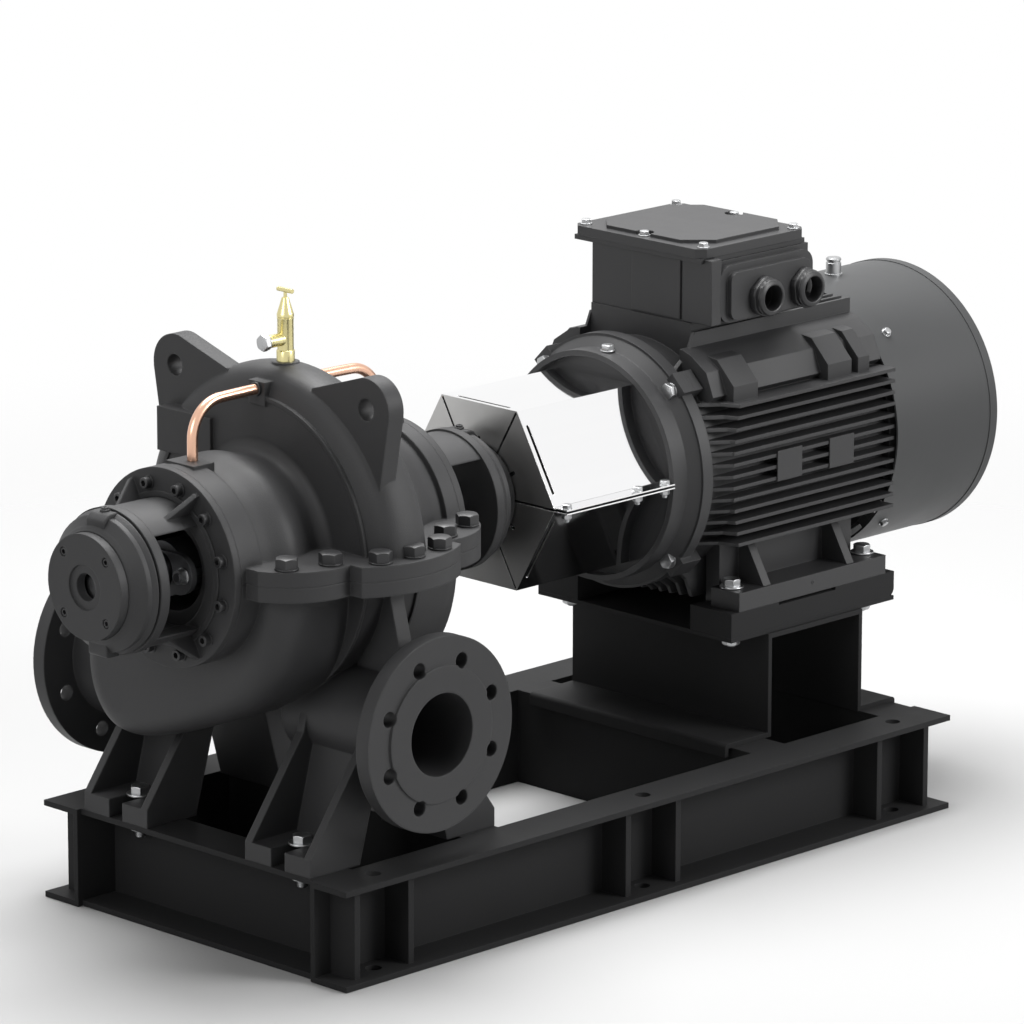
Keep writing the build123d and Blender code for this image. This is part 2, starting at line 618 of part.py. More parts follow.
# The guard is a folded six-sided box in two halves. Its end plate is slit at each fold and
# notched between the folds, and each side has a vent slot near the front edge.
def guard_half(side, label):
    inside = GUARD_R - GUARD_T * 1.155
    panel = GUARD_R * math.cos(math.radians(30))
    with BuildPart() as guard:
        prism(yz(GUARD_X0), ring_of(6, GUARD_R, 0), GUARD_X1 - GUARD_X0)
        prism(yz(GUARD_X0 + GUARD_T), ring_of(6, inside, 0), GUARD_X1 - GUARD_X0, mode=Mode.SUBTRACT)
        round_x(GUARD_X0 - 1, GUARD_X0 + GUARD_T + 1, GUARD_OPEN_R, mode=Mode.SUBTRACT)
        for cy, cz in ring_of(6, 1, 0):
            with BuildSketch(Plane(origin=(GUARD_X0 - 1, 0, AXIS_Z), x_dir=(0, cy, cz), z_dir=(1, 0, 0))):
                with Locations(((GUARD_OPEN_R + GUARD_R) / 2 - 3, 0)):
                    Rectangle(GUARD_R - GUARD_OPEN_R, GUARD_SLIT)
            extrude(amount=GUARD_T + 2, mode=Mode.SUBTRACT)
        for cy, cz in ring_of(6, 1, 30):
            with BuildSketch(Plane(origin=(GUARD_X0 - 1, 0, AXIS_Z), x_dir=(0, cy, cz), z_dir=(1, 0, 0))):
                with Locations((GUARD_OPEN_R + 4, 0)):
                    SlotOverall(20, 5.5)
            extrude(amount=GUARD_T + 2, mode=Mode.SUBTRACT)
            with BuildSketch(Plane(origin=(GUARD_X0 + 9, cy * (panel - 6), AXIS_Z + cz * (panel - 6)),
                                   x_dir=(0, -cz, cy), z_dir=(0, cy, cz))):
                SlotOverall(VENT_L, VENT_W)
            extrude(amount=12, mode=Mode.SUBTRACT)
        block(GUARD_X0 - 5, GUARD_X1 + 5, -200, 200, AXIS_Z + side * GUARD_SEAM / 2, AXIS_Z - 300 * side,
              mode=Mode.SUBTRACT)
        for y_side in (-1, 1):
            block(GUARD_X0 + 2, SHIELD_X0 - 1, y_side * (inside - 1), y_side * (GUARD_R + GUARD_LIP),
                  AXIS_Z + side * GUARD_SEAM / 2, AXIS_Z + side * (GUARD_SEAM / 2 + GUARD_T))
    save(guard, label)


guard_half(1, "guard_upper")
guard_half(-1, "guard_lower")


def pipe_run(side):
    def at(s, z):
        return (PUMP_X + side * s, 0, z)
    foot_s = sum(PAD_S) / 2 - 4
    start = PORT_S + PIPE_GAP
    with BuildLine() as route:
        Line(at(start, PORT_Z), at(102, PORT_Z + 2))
        Spline(at(102, PORT_Z + 2), at(146, 743), at(foot_s, 696), tangents=((side, 0, 0.04), (0, 0, -1)))
        Line(at(foot_s, 696), at(foot_s, AXIS_Z + RING_R + 2 + PIPE_GAP))
    with BuildSketch(Plane(origin=at(start, PORT_Z), z_dir=(side, 0, 0.04))) as ring:
        Circle(PIPE_R)
    sweep(sections=ring.sketch, path=route.wire())


with BuildPart() as flush_pipes:
    pipe_run(-1)
    pipe_run(1)
save(flush_pipes, "flush_pipes")

with BuildPart() as vent_valve:
    round_z(VENT_Z0, VENT_Z0 + 4, 17, PUMP_X, 0)
    round_z(VENT_Z0, VENT_Z0 + 62, VENT_R, PUMP_X, 0)
    with Locations(xy(VENT_Z0 + 62, PUMP_X, 0)):
        Cone(VENT_R, 4.5, 26, align=(Align.CENTER, Align.CENTER, Align.MIN))
    round_x(PUMP_X - 34, PUMP_X, 8.5, 0, VENT_Z0 + 35)
    round_z(VENT_Z0 + 60, VENT_Z0 + 90, 2.6, PUMP_X, 0, mode=Mode.SUBTRACT)
save(vent_valve, "vent_valve")

with BuildPart() as vent_plug:
    with BuildSketch(yz(PUMP_X - 44, 0, VENT_Z0 + 35)):
        RegularPolygon(11, 6)
    extrude(amount=10)
save(vent_plug, "vent_plug")

with BuildPart() as vent_handle:
    round_z(VENT_Z0 + 66, VENT_Z0 + 99, 2.4, PUMP_X, 0)
    round_y(-14, 14, 3.2, PUMP_X, VENT_Z0 + 98)
save(vent_handle, "vent_handle")

def corner_lugs(x, length):
    for cy, cz in ring_of(4, 1, 45):
        prism(Plane(origin=(x, 0, AXIS_Z), x_dir=(0, cy, cz), z_dir=(1, 0, 0)),
              ((150, -LUG_W / 2), (LUG_R, -LUG_W / 2), (LUG_R, LUG_W / 2), (150, LUG_W / 2)), length)


# Fins stand out level at both sides, upright above and below. Their front ends run out in a cone.
with BuildPart() as motor_frame:
    with BuildSketch(yz(MOTOR_X0), mode=Mode.PRIVATE) as fins:
        for i in range(-6, 7):
            with Locations((0, i * FIN_PITCH)):
                Rectangle(2 * FIN_R, FIN_T)
            with Locations((i * FIN_PITCH, 0)):
                Rectangle(FIN_T, 2 * FIN_R)
        Circle(CORE_R - 4, mode=Mode.SUBTRACT)
    extrude(to_extrude=fins.sketch, amount=FRAME_L)
    with BuildSketch(xz(0, MOTOR_X0, AXIS_Z), mode=Mode.PRIVATE) as run_out:
        with BuildLine():
            Polyline((-1, CORE_R), (-1, FIN_R + 40), (FIN_TAPER + 20, FIN_R + 40), (FIN_TAPER, FIN_R),
                     close=True)
        make_face()
    revolve(profiles=run_out.sketch, axis=Axis((MOTOR_X0, 0, AXIS_Z), (1, 0, 0)), revolution_arc=360,
            mode=Mode.SUBTRACT)
    round_x(MOTOR_X0, MOTOR_X1, CORE_R)
    corner_lugs(MOTOR_X0, 16)
    for side in (-1, 1):
        prism(yz(MOTOR_X0 + 20), ((side * 40, 172), (side * 104, 172), (side * 120, 166), (side * 150, 146),
                                  (side * 164, 112), (side * 140, 90), (side * 30, 120)), FRAME_L - 20)
        for d, length in BOSSES:
            prism(yz(MOTOR_X0 + d), ((side * 178, 102), (side * 178, 126), (side * 145, 160),
                                     (side * 110, 164), (side * 110, 102)), length)
        block(FOOT_X0, FOOT_X1, side * RAIL_Y, side * (RAIL_Y - PAD_W), MOTOR_FOOT_Z, FOOT_TOP)
        block(FOOT_X0 + 16, FOOT_X1 - 16, side * (RAIL_Y - PAD_W + 1), side * (RAIL_Y - RAIL_W),
              MOTOR_FOOT_Z, 425)
        for d in FOOT_RIB_D:
            prism(yz(FOOT_X0 + d), ((side * (RAIL_Y - 3), FOOT_TOP - AXIS_Z - 2), (side * 149, 430 - AXIS_Z),
                                    (side * 120, 430 - AXIS_Z), (side * 120, FOOT_TOP - AXIS_Z - 2)), FOOT_RIB_T)
        for x in MOTOR_BOLT_X:
            round_z(MOTOR_FOOT_Z - 1, FOOT_TOP + 1, BOLT_HOLE_R, x, side * MOTOR_BOLT_Y, mode=Mode.SUBTRACT)
    block(BOX_X0 - 2, BOX_X0 + NECK_L, -BOX_Y, BOX_Y, AXIS_Z + 120, BOX_Z0)
    round_x(MOTOR_X0 - 1, MOTOR_X1 + 1, MOTOR_SHAFT_R + TURN_GAP, mode=Mode.SUBTRACT)
save(motor_frame, "motor_frame")

with BuildPart() as motor_end_shield_de:
    round_x(MOTOR_X0 - 20, MOTOR_X0, 184)
    with Locations(yz(MOTOR_X0 - 34)):
        Cone(SHIELD_R, 180, 14, align=(Align.CENTER, Align.CENTER, Align.MIN))
    round_x(SHIELD_X0, MOTOR_X0 - 34, SHIELD_R)
    round_x(SHIELD_X0 - 1, GUARD_X1, DISH_R, mode=Mode.SUBTRACT)
    round_x(SHIELD_X0 - 6, GUARD_X1 + 12, HOUSING_R)
    corner_lugs(MOTOR_X0 - 22, 22)
    round_x(SHIELD_X0 - 7, MOTOR_X0 + 1, MOTOR_SHAFT_R + RUN_GAP, mode=Mode.SUBTRACT)
save(motor_end_shield_de, "motor_end_shield_de")

with BuildPart() as motor_end_shield_nde:
    round_x(MOTOR_X1, MOTOR_X1 + 20, 184)
    round_x(MOTOR_X1, MOTOR_X1 + 32, 60)
    round_x(MOTOR_X1 - 1, MOTOR_X1 + 40, MOTOR_SHAFT_R + RUN_GAP, mode=Mode.SUBTRACT)
save(motor_end_shield_nde, "motor_end_shield_nde")

with BuildPart() as fan_cowl:
    round_x(COWL_X0, COWL_X1, COWL_R)
    round_x(COWL_X0 - 1, COWL_X1 + 1, COWL_R - COWL_T, mode=Mode.SUBTRACT)
    for cy, cz in ring_of(4, 1, 45):
        stay = Plane(origin=(COWL_X0, 0, AXIS_Z), x_dir=(0, cy, cz), z_dir=(1, 0, 0))
        prism(stay, ((184, -9), (COWL_R - 1, -9), (COWL_R - 1, 9), (184, 9)), 19)
save(fan_cowl, "fan_cowl")

with BuildPart() as cowl_grille:
    round_x(COWL_X1, COWL_X1 + RIM_L, COWL_R + 1)
    round_x(COWL_X1 - 1, COWL_X1 + RIM_L - 3, COWL_R - COWL_T, mode=Mode.SUBTRACT)
    for r in range(60, 190, 14):
        with BuildSketch(yz(COWL_X1 + RIM_L - 4)) as slots:
            Circle(r + 9)
            Circle(r, mode=Mode.SUBTRACT)
            Rectangle(2 * COWL_R, 9, mode=Mode.SUBTRACT)
            Rectangle(9, 2 * COWL_R, mode=Mode.SUBTRACT)
        extrude(to_extrude=slots.sketch, amount=6, mode=Mode.SUBTRACT)
save(cowl_grille, "cowl_grille")

# The cable bay on the near side opens into the box. The gland plate closes it.
with BuildPart() as terminal_box_body:
    block(BOX_X0, BOX_X1, -BOX_Y, BOX_Y, BOX_Z0, BOX_Z1)
    block(BOX_X0 - 10, BOX_X1 + 1, -LID_Y + 3, LID_Y - 3, BOX_Z1 - 7, BOX_Z1)
    block(BOX_X0 + 4, BOX_X1 + 4, -BAY_Y, -BOX_Y + 1, BOX_Z0, BOX_Z1 - 7)
    block(BOX_X0 + BOX_T, BOX_X1 - BOX_T, -BOX_Y + BOX_T, BOX_Y - BOX_T, BOX_Z0 + BOX_T, BOX_Z1 + 1,
          mode=Mode.SUBTRACT)
    block(BOX_X0 + 30, BOX_X1 - BOX_T, -BAY_Y - 1, -BOX_Y + BOX_T + 1, BOX_Z0 + 5, BOX_Z1 - 20,
          mode=Mode.SUBTRACT)
save(terminal_box_body, "terminal_box_body")

with BuildPart() as terminal_box_lid:
    block(BOX_X0 - 13, BOX_X1 + 4, -LID_Y, LID_Y, BOX_Z1, BOX_Z1 + 14)
    chamfer(terminal_box_lid.edges().filter_by(Axis.Z), 12)
    block(BOX_X0 + 2, BOX_X1, -108, 108, BOX_Z1 + 14, BOX_Z1 + 19)
    corners = [e for e in terminal_box_lid.edges().filter_by(Axis.Z) if e.center().Z > BOX_Z1 + 14]
    chamfer(corners, 36)
    for x in (BOX_X0 + 4.5, BOX_X1 - 13):
        round_z(BOX_Z1 + 14, BOX_Z1 + 20, 14, x, 0, mode=Mode.SUBTRACT)
save(terminal_box_lid, "terminal_box_lid")

with BuildPart() as gland_plate:
    block(BOX_X0 + 15, BOX_X1 + 4, -BAY_Y - 10, -BAY_Y, BOX_Z0 + 1, BOX_Z0 + 84)
    fillet(gland_plate.edges().filter_by(Axis.Y), 22)
    block(BOX_X0 + 30, BOX_X1 - 9, -BAY_Y - 18, -BAY_Y - 10, BOX_Z0 + 5, BOX_Z0 + 74)
    fillet([e for e in gland_plate.edges().filter_by(Axis.Y) if e.center().Y < -BAY_Y - 11], 14)
    for x in GLAND_X:
        round_y(-BAY_Y - 19, -BAY_Y + 1, GLAND_R, x, GLAND_Z, mode=Mode.SUBTRACT)
save(gland_plate, "gland_plate")

with BuildPart() as cable_glands:
    for x in GLAND_X:
        with BuildSketch(xz(-BAY_Y - 18, x, GLAND_Z)) as nut:
            RegularPolygon(30, 6, rotation=30)
        extrude(to_extrude=nut.sketch, amount=6)
        round_y(-BAY_Y - 34, -BAY_Y - 18, 26, x, GLAND_Z)
        round_y(-BAY_Y - 35, -BAY_Y - 17, GLAND_R, x, GLAND_Z, mode=Mode.SUBTRACT)
save(cable_glands, "cable_glands")

with BuildPart() as blank_plates:
    for d in PLATE_D:
        block(MOTOR_X0 + d, MOTOR_X0 + d + 51, -FIN_R - 2, -FIN_R, AXIS_Z - 21, AXIS_Z + 23)
save(blank_plates, "blank_plates")
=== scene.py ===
import json
import math

import bmesh
import bpy
from mathutils import Matrix, Vector


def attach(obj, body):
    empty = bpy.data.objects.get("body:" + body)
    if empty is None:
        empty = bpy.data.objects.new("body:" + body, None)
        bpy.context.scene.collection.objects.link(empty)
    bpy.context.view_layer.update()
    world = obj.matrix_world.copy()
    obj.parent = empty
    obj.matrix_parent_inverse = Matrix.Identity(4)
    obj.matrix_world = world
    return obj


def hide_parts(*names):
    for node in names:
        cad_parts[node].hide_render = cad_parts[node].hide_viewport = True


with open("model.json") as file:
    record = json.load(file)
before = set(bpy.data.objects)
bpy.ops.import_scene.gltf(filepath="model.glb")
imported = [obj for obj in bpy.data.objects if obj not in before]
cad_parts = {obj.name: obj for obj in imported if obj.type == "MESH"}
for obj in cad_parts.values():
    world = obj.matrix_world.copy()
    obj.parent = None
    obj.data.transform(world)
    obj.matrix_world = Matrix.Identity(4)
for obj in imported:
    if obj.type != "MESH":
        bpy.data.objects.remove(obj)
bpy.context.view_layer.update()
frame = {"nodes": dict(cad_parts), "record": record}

# Sizes repeated from the part, in metres. X runs along the shaft, Y to the suction side, Z up.
# A size that ends in _S or _s is a reach along the shaft from the pump's middle.
MM = 0.001
AXIS_Z = 0.5355
PUMP_X = -0.424
SPLIT_T = 0.021
RING_S = {-1: 0.211, 1: 0.196}
BRACKET_T = 0.0115
CAP_FACE_X = -0.791
DE_CAP_S = 0.366
CAP_BOLT_R = 0.059
BRACKET_BOLT_R = 0.117
FOOT_TOP_Z = 0.166
PUMP_FOOT_S = 0.128
PUMP_FOOT_Y = 0.162
# The split flange's bolts, as pairs of reach and Y in millimetres.
SPLIT_BOLTS = ((-168, 178), (-107, 198), (-55, 240), (0, 246), (55, 240), (107, 198), (168, 178))
MOTOR_X0 = 0.225
MOTOR_X1 = 0.597
MOTOR_FOOT_TOP = 0.363
MOTOR_BOLT_X = (0.292, 0.568)
MOTOR_BOLT_Y = 0.159
SHIELD_BOLT_R = 0.173
RAIL_LOW_Z = 0.293
COWL_R = 0.199
GREASE_X = 0.675
LID_TOP = 0.852
LID_BOLT_X = (0.2745, 0.461)
LID_BOLT_Y = 0.1150
NECK_X = 0.26795
BAY_Y = -0.128
GLAND_X = (0.366, 0.450)
GLAND_Z = 0.773
VENT_Z0 = 0.783
GUARD_HALF_SEAM = 0.0015
GUARD_SHEET_T = 0.002
GUARD_BOLT_X = (-0.046, 0.095, 0.150)
GUARD_BOLT_Y = 0.1615
BASE_H = 0.140
BASE_FLANGE_T = 0.008

UP = Vector((0, 0, 1))
DOWN = Vector((0, 0, -1))
TO_MOTOR = Vector((1, 0, 0))
TO_PUMP = Vector((-1, 0, 0))
NEAR = Vector((0, -1, 0))
SIDES = (-1, 1)
PUMP_ENDS = (("nde", -1, TO_PUMP), ("de", 1, TO_MOTOR))


# Camera and studio

def add_object(name, data):
    made = bpy.data.objects.new(name, data)
    bpy.context.scene.collection.objects.link(made)
    return made


def set_camera():
    """The lens, place and turn that the photograph's straight lines and circles gave."""
    data = bpy.data.cameras.new("camera")
    data.sensor_width = 36.0
    data.lens = 237.09
    data.clip_end = 60.0
    cam = add_object("camera", data)
    right = Vector((0.7052775, -0.7089296, 0.0015571))
    up = Vector((0.173688, 0.1749218, 0.9691413))
    back = Vector((-0.6873253, -0.6832431, 0.246501))
    place = (-6.4937105, -6.4643864, 2.8274251)
    turn = Matrix((right, up, back)).transposed().to_4x4()
    cam.matrix_world = Matrix.Translation(place) @ turn
    bpy.context.scene.camera = cam


def soft_lamp(name, place, target, size, power):
    data = bpy.data.lights.new(name, "AREA")
    data.shape = "DISK"
    data.size = size
    data.energy = power
    lamp = add_object(name, data)
    lamp.location = place
    aim = Vector(target) - Vector(place)
    lamp.rotation_euler = aim.to_track_quat("-Z", "Y").to_euler()


def set_world():
    """An even grey fill, which the camera, mirrors and glass see as white."""
    fill = 0.24
    world = bpy.data.worlds.new("studio")
    bpy.context.scene.world = world
    world.use_nodes = True
    nodes = world.node_tree.nodes
    links = world.node_tree.links
    nodes.clear()
    paths = nodes.new("ShaderNodeLightPath")
    rays = paths.outputs
    direct = math_node(nodes, links, "MAXIMUM", rays["Is Camera Ray"], rays["Is Glossy Ray"])
    seen = math_node(nodes, links, "MAXIMUM", direct, rays["Is Transmission Ray"])
    glow = nodes.new("ShaderNodeMixRGB")
    glow.inputs["Color1"].default_value = (fill, fill, fill, 1)
    glow.inputs["Color2"].default_value = (1, 1, 1, 1)
    links.new(seen, glow.inputs["Fac"])
    sky = nodes.new("ShaderNodeBackground")
    links.new(glow.outputs["Color"], sky.inputs["Color"])
    out = nodes.new("ShaderNodeOutputWorld")
    links.new(sky.outputs["Background"], out.inputs["Surface"])


def set_floor():
    """A pale floor just under the base, which fades out into the white behind it."""
    size = 24
    drop = 0.0005
    fade_from, fade_to = 0.75, 3.2
    bpy.ops.mesh.primitive_plane_add(size=size, location=(0, 0, -drop))
    floor = bpy.context.object
    floor.name = "studio_floor"
    paint = bpy.data.materials.new("studio_floor")
    paint.use_nodes = True
    nodes = paint.node_tree.nodes
    links = paint.node_tree.links
    shader = nodes["Principled BSDF"]
    shader.inputs["Base Color"].default_value = (0.52, 0.52, 0.52, 1)
    shader.inputs["Roughness"].default_value = 0.9
    shader.inputs["Specular IOR Level"].default_value = 0.1
    where = nodes.new("ShaderNodeTexCoord")
    reach = nodes.new("ShaderNodeVectorMath")
    reach.operation = "LENGTH"
    links.new(where.outputs["Object"], reach.inputs[0])
    fade = remap(nodes, links, reach.outputs["Value"], (fade_from, fade_to), (1.0, 0.0), smooth=True)
    links.new(fade, shader.inputs["Alpha"])
    floor.data.materials.append(paint)


def set_studio():
    bpy.context.scene.view_settings.view_transform = "Standard"
    set_world()
    set_floor()
    soft_lamp("overhead_lamp", place=(0.6, 0.9, 4.2), target=(0, 0, 0.4), size=3.4, power=320)
    soft_lamp("left_lamp", place=(-4.4, -0.4, 2.2), target=(-0.2, 0, 0.5), size=2.2, power=46)
    soft_lamp("front_lamp", place=(2.3, -4.6, 2.7), target=(0.1, 0, 0.45), size=2.4, power=195)


# Shared surface effects

def new_group(name, inputs, outputs):
    group = bpy.data.node_groups.new(name, "ShaderNodeTree")
    for word, value in inputs:
        socket = group.interface.new_socket(name=word, in_out="INPUT", socket_type="NodeSocketFloat")
        socket.default_value = value
    for word, kind in outputs:
        group.interface.new_socket(name=word, in_out="OUTPUT", socket_type=kind)
    ins = group.nodes.new("NodeGroupInput")
    outs = group.nodes.new("NodeGroupOutput")
    return group, group.nodes, group.links, ins, outs


def noise(nodes, links, coordinate, scale, detail, roughness):
    tex = nodes.new("ShaderNodeTexNoise")
    tex.inputs["Scale"].default_value = scale
    tex.inputs["Detail"].default_value = detail
    tex.inputs["Roughness"].default_value = roughness
    links.new(coordinate, tex.inputs["Vector"])
    return tex


def math_node(nodes, links, operation, first, second):
    node = nodes.new("ShaderNodeMath")
    node.operation = operation
    for slot, value in ((0, first), (1, second)):
        if isinstance(value, (int, float)):
            node.inputs[slot].default_value = value
        else:
            links.new(value, node.inputs[slot])
    return node.outputs[0]


def remap(nodes, links, value, source, target, smooth=False):
    """Carries a value from the source range over to the target range."""
    node = nodes.new("ShaderNodeMapRange")
    if smooth:
        node.interpolation_type = "SMOOTHSTEP"
    for word, limit in zip(("From Min", "From Max", "To Min", "To Max"), (*source, *target)):
        node.inputs[word].default_value = limit
    links.new(value, node.inputs["Value"])
    return node.outputs["Result"]


def make_cast_skin():
    """Sand-cast skin under paint: fine grain, soft lumps and slow drifts of shade."""
    group, nodes, links, ins, outs = new_group(
        "cast_skin", (("Grain", 1.0), ("Lumps", 1.0)),
        (("Height", "NodeSocketFloat"), ("Drift", "NodeSocketFloat"), ("Speckle", "NodeSocketFloat")))
    where = nodes.new("ShaderNodeTexCoord").outputs["Object"]
    grain = noise(nodes, links, where, scale=620, detail=3, roughness=0.6)
    lumps = noise(nodes, links, where, scale=46, detail=2, roughness=0.5)
    drift = noise(nodes, links, where, scale=7, detail=3, roughness=0.55)
    speckle = noise(nodes, links, where, scale=260, detail=2, roughness=0.7)
    fine = math_node(nodes, links, "MULTIPLY", grain.outputs["Fac"], ins.outputs["Grain"])
    soft = math_node(nodes, links, "MULTIPLY", lumps.outputs["Fac"], ins.outputs["Lumps"])
    links.new(math_node(nodes, links, "ADD", fine, soft), outs.inputs["Height"])
    links.new(drift.outputs["Fac"], outs.inputs["Drift"])
    links.new(speckle.outputs["Fac"], outs.inputs["Speckle"])
    return group


def make_edge_rub():
    """Corners rounded to a true radius, and a mask of the paint rubbed thin along them."""
    group, nodes, links, ins, outs = new_group(
        "edge_rub", (("Radius", 0.002), ("Amount", 1.0)),
        (("Normal", "NodeSocketVector"), ("Rub", "NodeSocketFloat")))
    bevel = nodes.new("ShaderNodeBevel")
    bevel.samples = 3
    links.new(ins.outputs["Radius"], bevel.inputs["Radius"])
    geometry = nodes.new("ShaderNodeNewGeometry")
    likeness = nodes.new("ShaderNodeVectorMath")
    likeness.operation = "DOT_PRODUCT"
    links.new(bevel.outputs["Normal"], likeness.inputs[0])
    links.new(geometry.outputs["Normal"], likeness.inputs[1])
    turn = math_node(nodes, links, "SUBTRACT", 1.0, likeness.outputs["Value"])
    where = nodes.new("ShaderNodeTexCoord").outputs["Object"]
    chips = noise(nodes, links, where, scale=85, detail=4, roughness=0.7)
    worn = math_node(nodes, links, "MULTIPLY", turn, chips.outputs["Fac"])
    scaled = math_node(nodes, links, "MULTIPLY", worn, ins.outputs["Amount"])
    clamp = nodes.new("ShaderNodeClamp")
    links.new(scaled, clamp.inputs["Value"])
    links.new(bevel.outputs["Normal"], outs.inputs["Normal"])
    links.new(clamp.outputs["Result"], outs.inputs["Rub"])
    return group


def make_drawn_lines():
    """Fine lines left by rolling, drawing or turning, laid along one axis by the Run inputs."""
    group, nodes, links, ins, outs = new_group(
        "drawn_lines", (("Run X", 1.0), ("Run Y", 1.0), ("Run Z", 1.0), ("Count", 300.0)),
        (("Lines", "NodeSocketFloat"), ("Smear", "NodeSocketFloat")))
    where = nodes.new("ShaderNodeTexCoord").outputs["Object"]
    stretch = nodes.new("ShaderNodeCombineXYZ")
    for axis in ("X", "Y", "Z"):
        links.new(ins.outputs["Run " + axis], stretch.inputs[axis])
    laid = nodes.new("ShaderNodeVectorMath")
    laid.operation = "MULTIPLY"
    links.new(where, laid.inputs[0])
    links.new(stretch.outputs["Vector"], laid.inputs[1])
    lines = noise(nodes, links, laid.outputs["Vector"], scale=300, detail=2, roughness=0.6)
    links.new(ins.outputs["Count"], lines.inputs["Scale"])
    smear = noise(nodes, links, laid.outputs["Vector"], scale=14, detail=3, roughness=0.6)
    links.new(lines.outputs["Fac"], outs.inputs["Lines"])
    links.new(smear.outputs["Fac"], outs.inputs["Smear"])
    return group


CAST_SKIN = make_cast_skin()
EDGE_RUB = make_edge_rub()
DRAWN_LINES = make_drawn_lines()


# Finishes

def place_group(nodes, group, **values):
    node = nodes.new("ShaderNodeGroup")
    node.node_tree = group
    for word, value in values.items():
        node.inputs[word.replace("_", " ")].default_value = value
    return node


def blend_colours(nodes, links, mask, first, second):
    """Two colours blended by a mask. The mix node's colour sockets have places but no names of their own."""
    first_in, second_in, colour_out = 6, 7, 2
    mix = nodes.new("ShaderNodeMix")
    mix.data_type = "RGBA"
    links.new(mask, mix.inputs["Factor"])
    for place, value in ((first_in, first), (second_in, second)):
        if isinstance(value, tuple):
            mix.inputs[place].default_value = (*value, 1)
        else:
            links.new(value, mix.inputs[place])
    return mix.outputs[colour_out]


def spread(nodes, links, mask, low, high):
    """A value from low to high over the middle of a noise, where nearly all of it lies."""
    return remap(nodes, links, mask, (0.3, 0.7), (low, high))


def start_material(name, metallic, specular):
    made = bpy.data.materials.new(name)
    made.use_nodes = True
    nodes = made.node_tree.nodes
    shader = nodes["Principled BSDF"]
    shader.inputs["Metallic"].default_value = metallic
    shader.inputs["Specular IOR Level"].default_value = specular
    return made, nodes, made.node_tree.links, shader


def set_relief(nodes, links, shader, height, edge, depth, strength):
    """Relief of a given depth over the rounded corners."""
    bump = nodes.new("ShaderNodeBump")
    bump.inputs["Distance"].default_value = depth
    bump.inputs["Strength"].default_value = strength
    links.new(height, bump.inputs["Height"])
    links.new(edge.outputs["Normal"], bump.inputs["Normal"])
    links.new(bump.outputs["Normal"], shader.inputs["Normal"])


def painted(name, dark, light, rub, rough, grain, lumps, depth, radius, worn, specular):
    """Paint over iron or steel, its skin shaped by what lies under it."""
    fleck = 0.25
    sheen = 0.06
    made, nodes, links, shader = start_material(name, metallic=0.0, specular=specular)
    skin = place_group(nodes, CAST_SKIN, Grain=grain, Lumps=lumps)
    edge = place_group(nodes, EDGE_RUB, Radius=radius, Amount=worn)
    drift = skin.outputs["Drift"]
    coat = blend_colours(nodes, links, drift, dark, light)
    flecks = spread(nodes, links, skin.outputs["Speckle"], 0.0, fleck)
    flecked = blend_colours(nodes, links, flecks, coat, dark)
    links.new(blend_colours(nodes, links, edge.outputs["Rub"], flecked, rub), shader.inputs["Base Color"])
    links.new(spread(nodes, links, drift, rough - sheen, rough + sheen), shader.inputs["Roughness"])
    set_relief(nodes, links, shader, skin.outputs["Height"], edge, depth, strength=0.7)
    return made


def bare_metal(name, dark, light, rough, run, depth, radius):
    """Metal with no paint, marked along the way that it was drawn, rolled or turned."""
    made, nodes, links, shader = start_material(name, metallic=1.0, specular=0.5)
    marks = place_group(nodes, DRAWN_LINES, Run_X=run[0], Run_Y=run[1], Run_Z=run[2], Count=300.0)
    edge = place_group(nodes, EDGE_RUB, Radius=radius, Amount=0.6)
    smear = marks.outputs["Smear"]
    tone = blend_colours(nodes, links, smear, dark, light)
    links.new(blend_colours(nodes, links, edge.outputs["Rub"], tone, light), shader.inputs["Base Color"])
    links.new(spread(nodes, links, smear, rough * 0.8, rough * 1.25), shader.inputs["Roughness"])
    set_relief(nodes, links, shader, marks.outputs["Lines"], edge, depth, strength=0.4)
    return made


def guard_sheet(name):
    """Polished sheet for the guard. The end plate, which faces the pump, is only brushed."""
    made, nodes, links, shader = start_material(name, metallic=1.0, specular=0.5)
    marks = place_group(nodes, DRAWN_LINES, Run_X=0.03, Run_Y=1.0, Run_Z=1.0, Count=120.0)
    edge = place_group(nodes, EDGE_RUB, Radius=0.0010, Amount=0.6)
    smear = marks.outputs["Smear"]
    where = nodes.new("ShaderNodeTexCoord")
    split = nodes.new("ShaderNodeSeparateXYZ")
    links.new(where.outputs["Normal"], split.inputs[0])
    end_plate = remap(nodes, links, split.outputs["X"], (-0.8, -0.95), (0.0, 1.0))
    bright = blend_colours(nodes, links, smear, (0.90, 0.90, 0.905), (0.95, 0.95, 0.955))
    dull = blend_colours(nodes, links, smear, (0.44, 0.437, 0.430), (0.56, 0.556, 0.548))
    links.new(blend_colours(nodes, links, end_plate, bright, dull), shader.inputs["Base Color"])
    links.new(remap(nodes, links, end_plate, (0.0, 1.0), (0.05, 0.34)), shader.inputs["Roughness"])
    set_relief(nodes, links, shader, marks.outputs["Lines"], edge, depth=0.00002, strength=0.3)
    return made


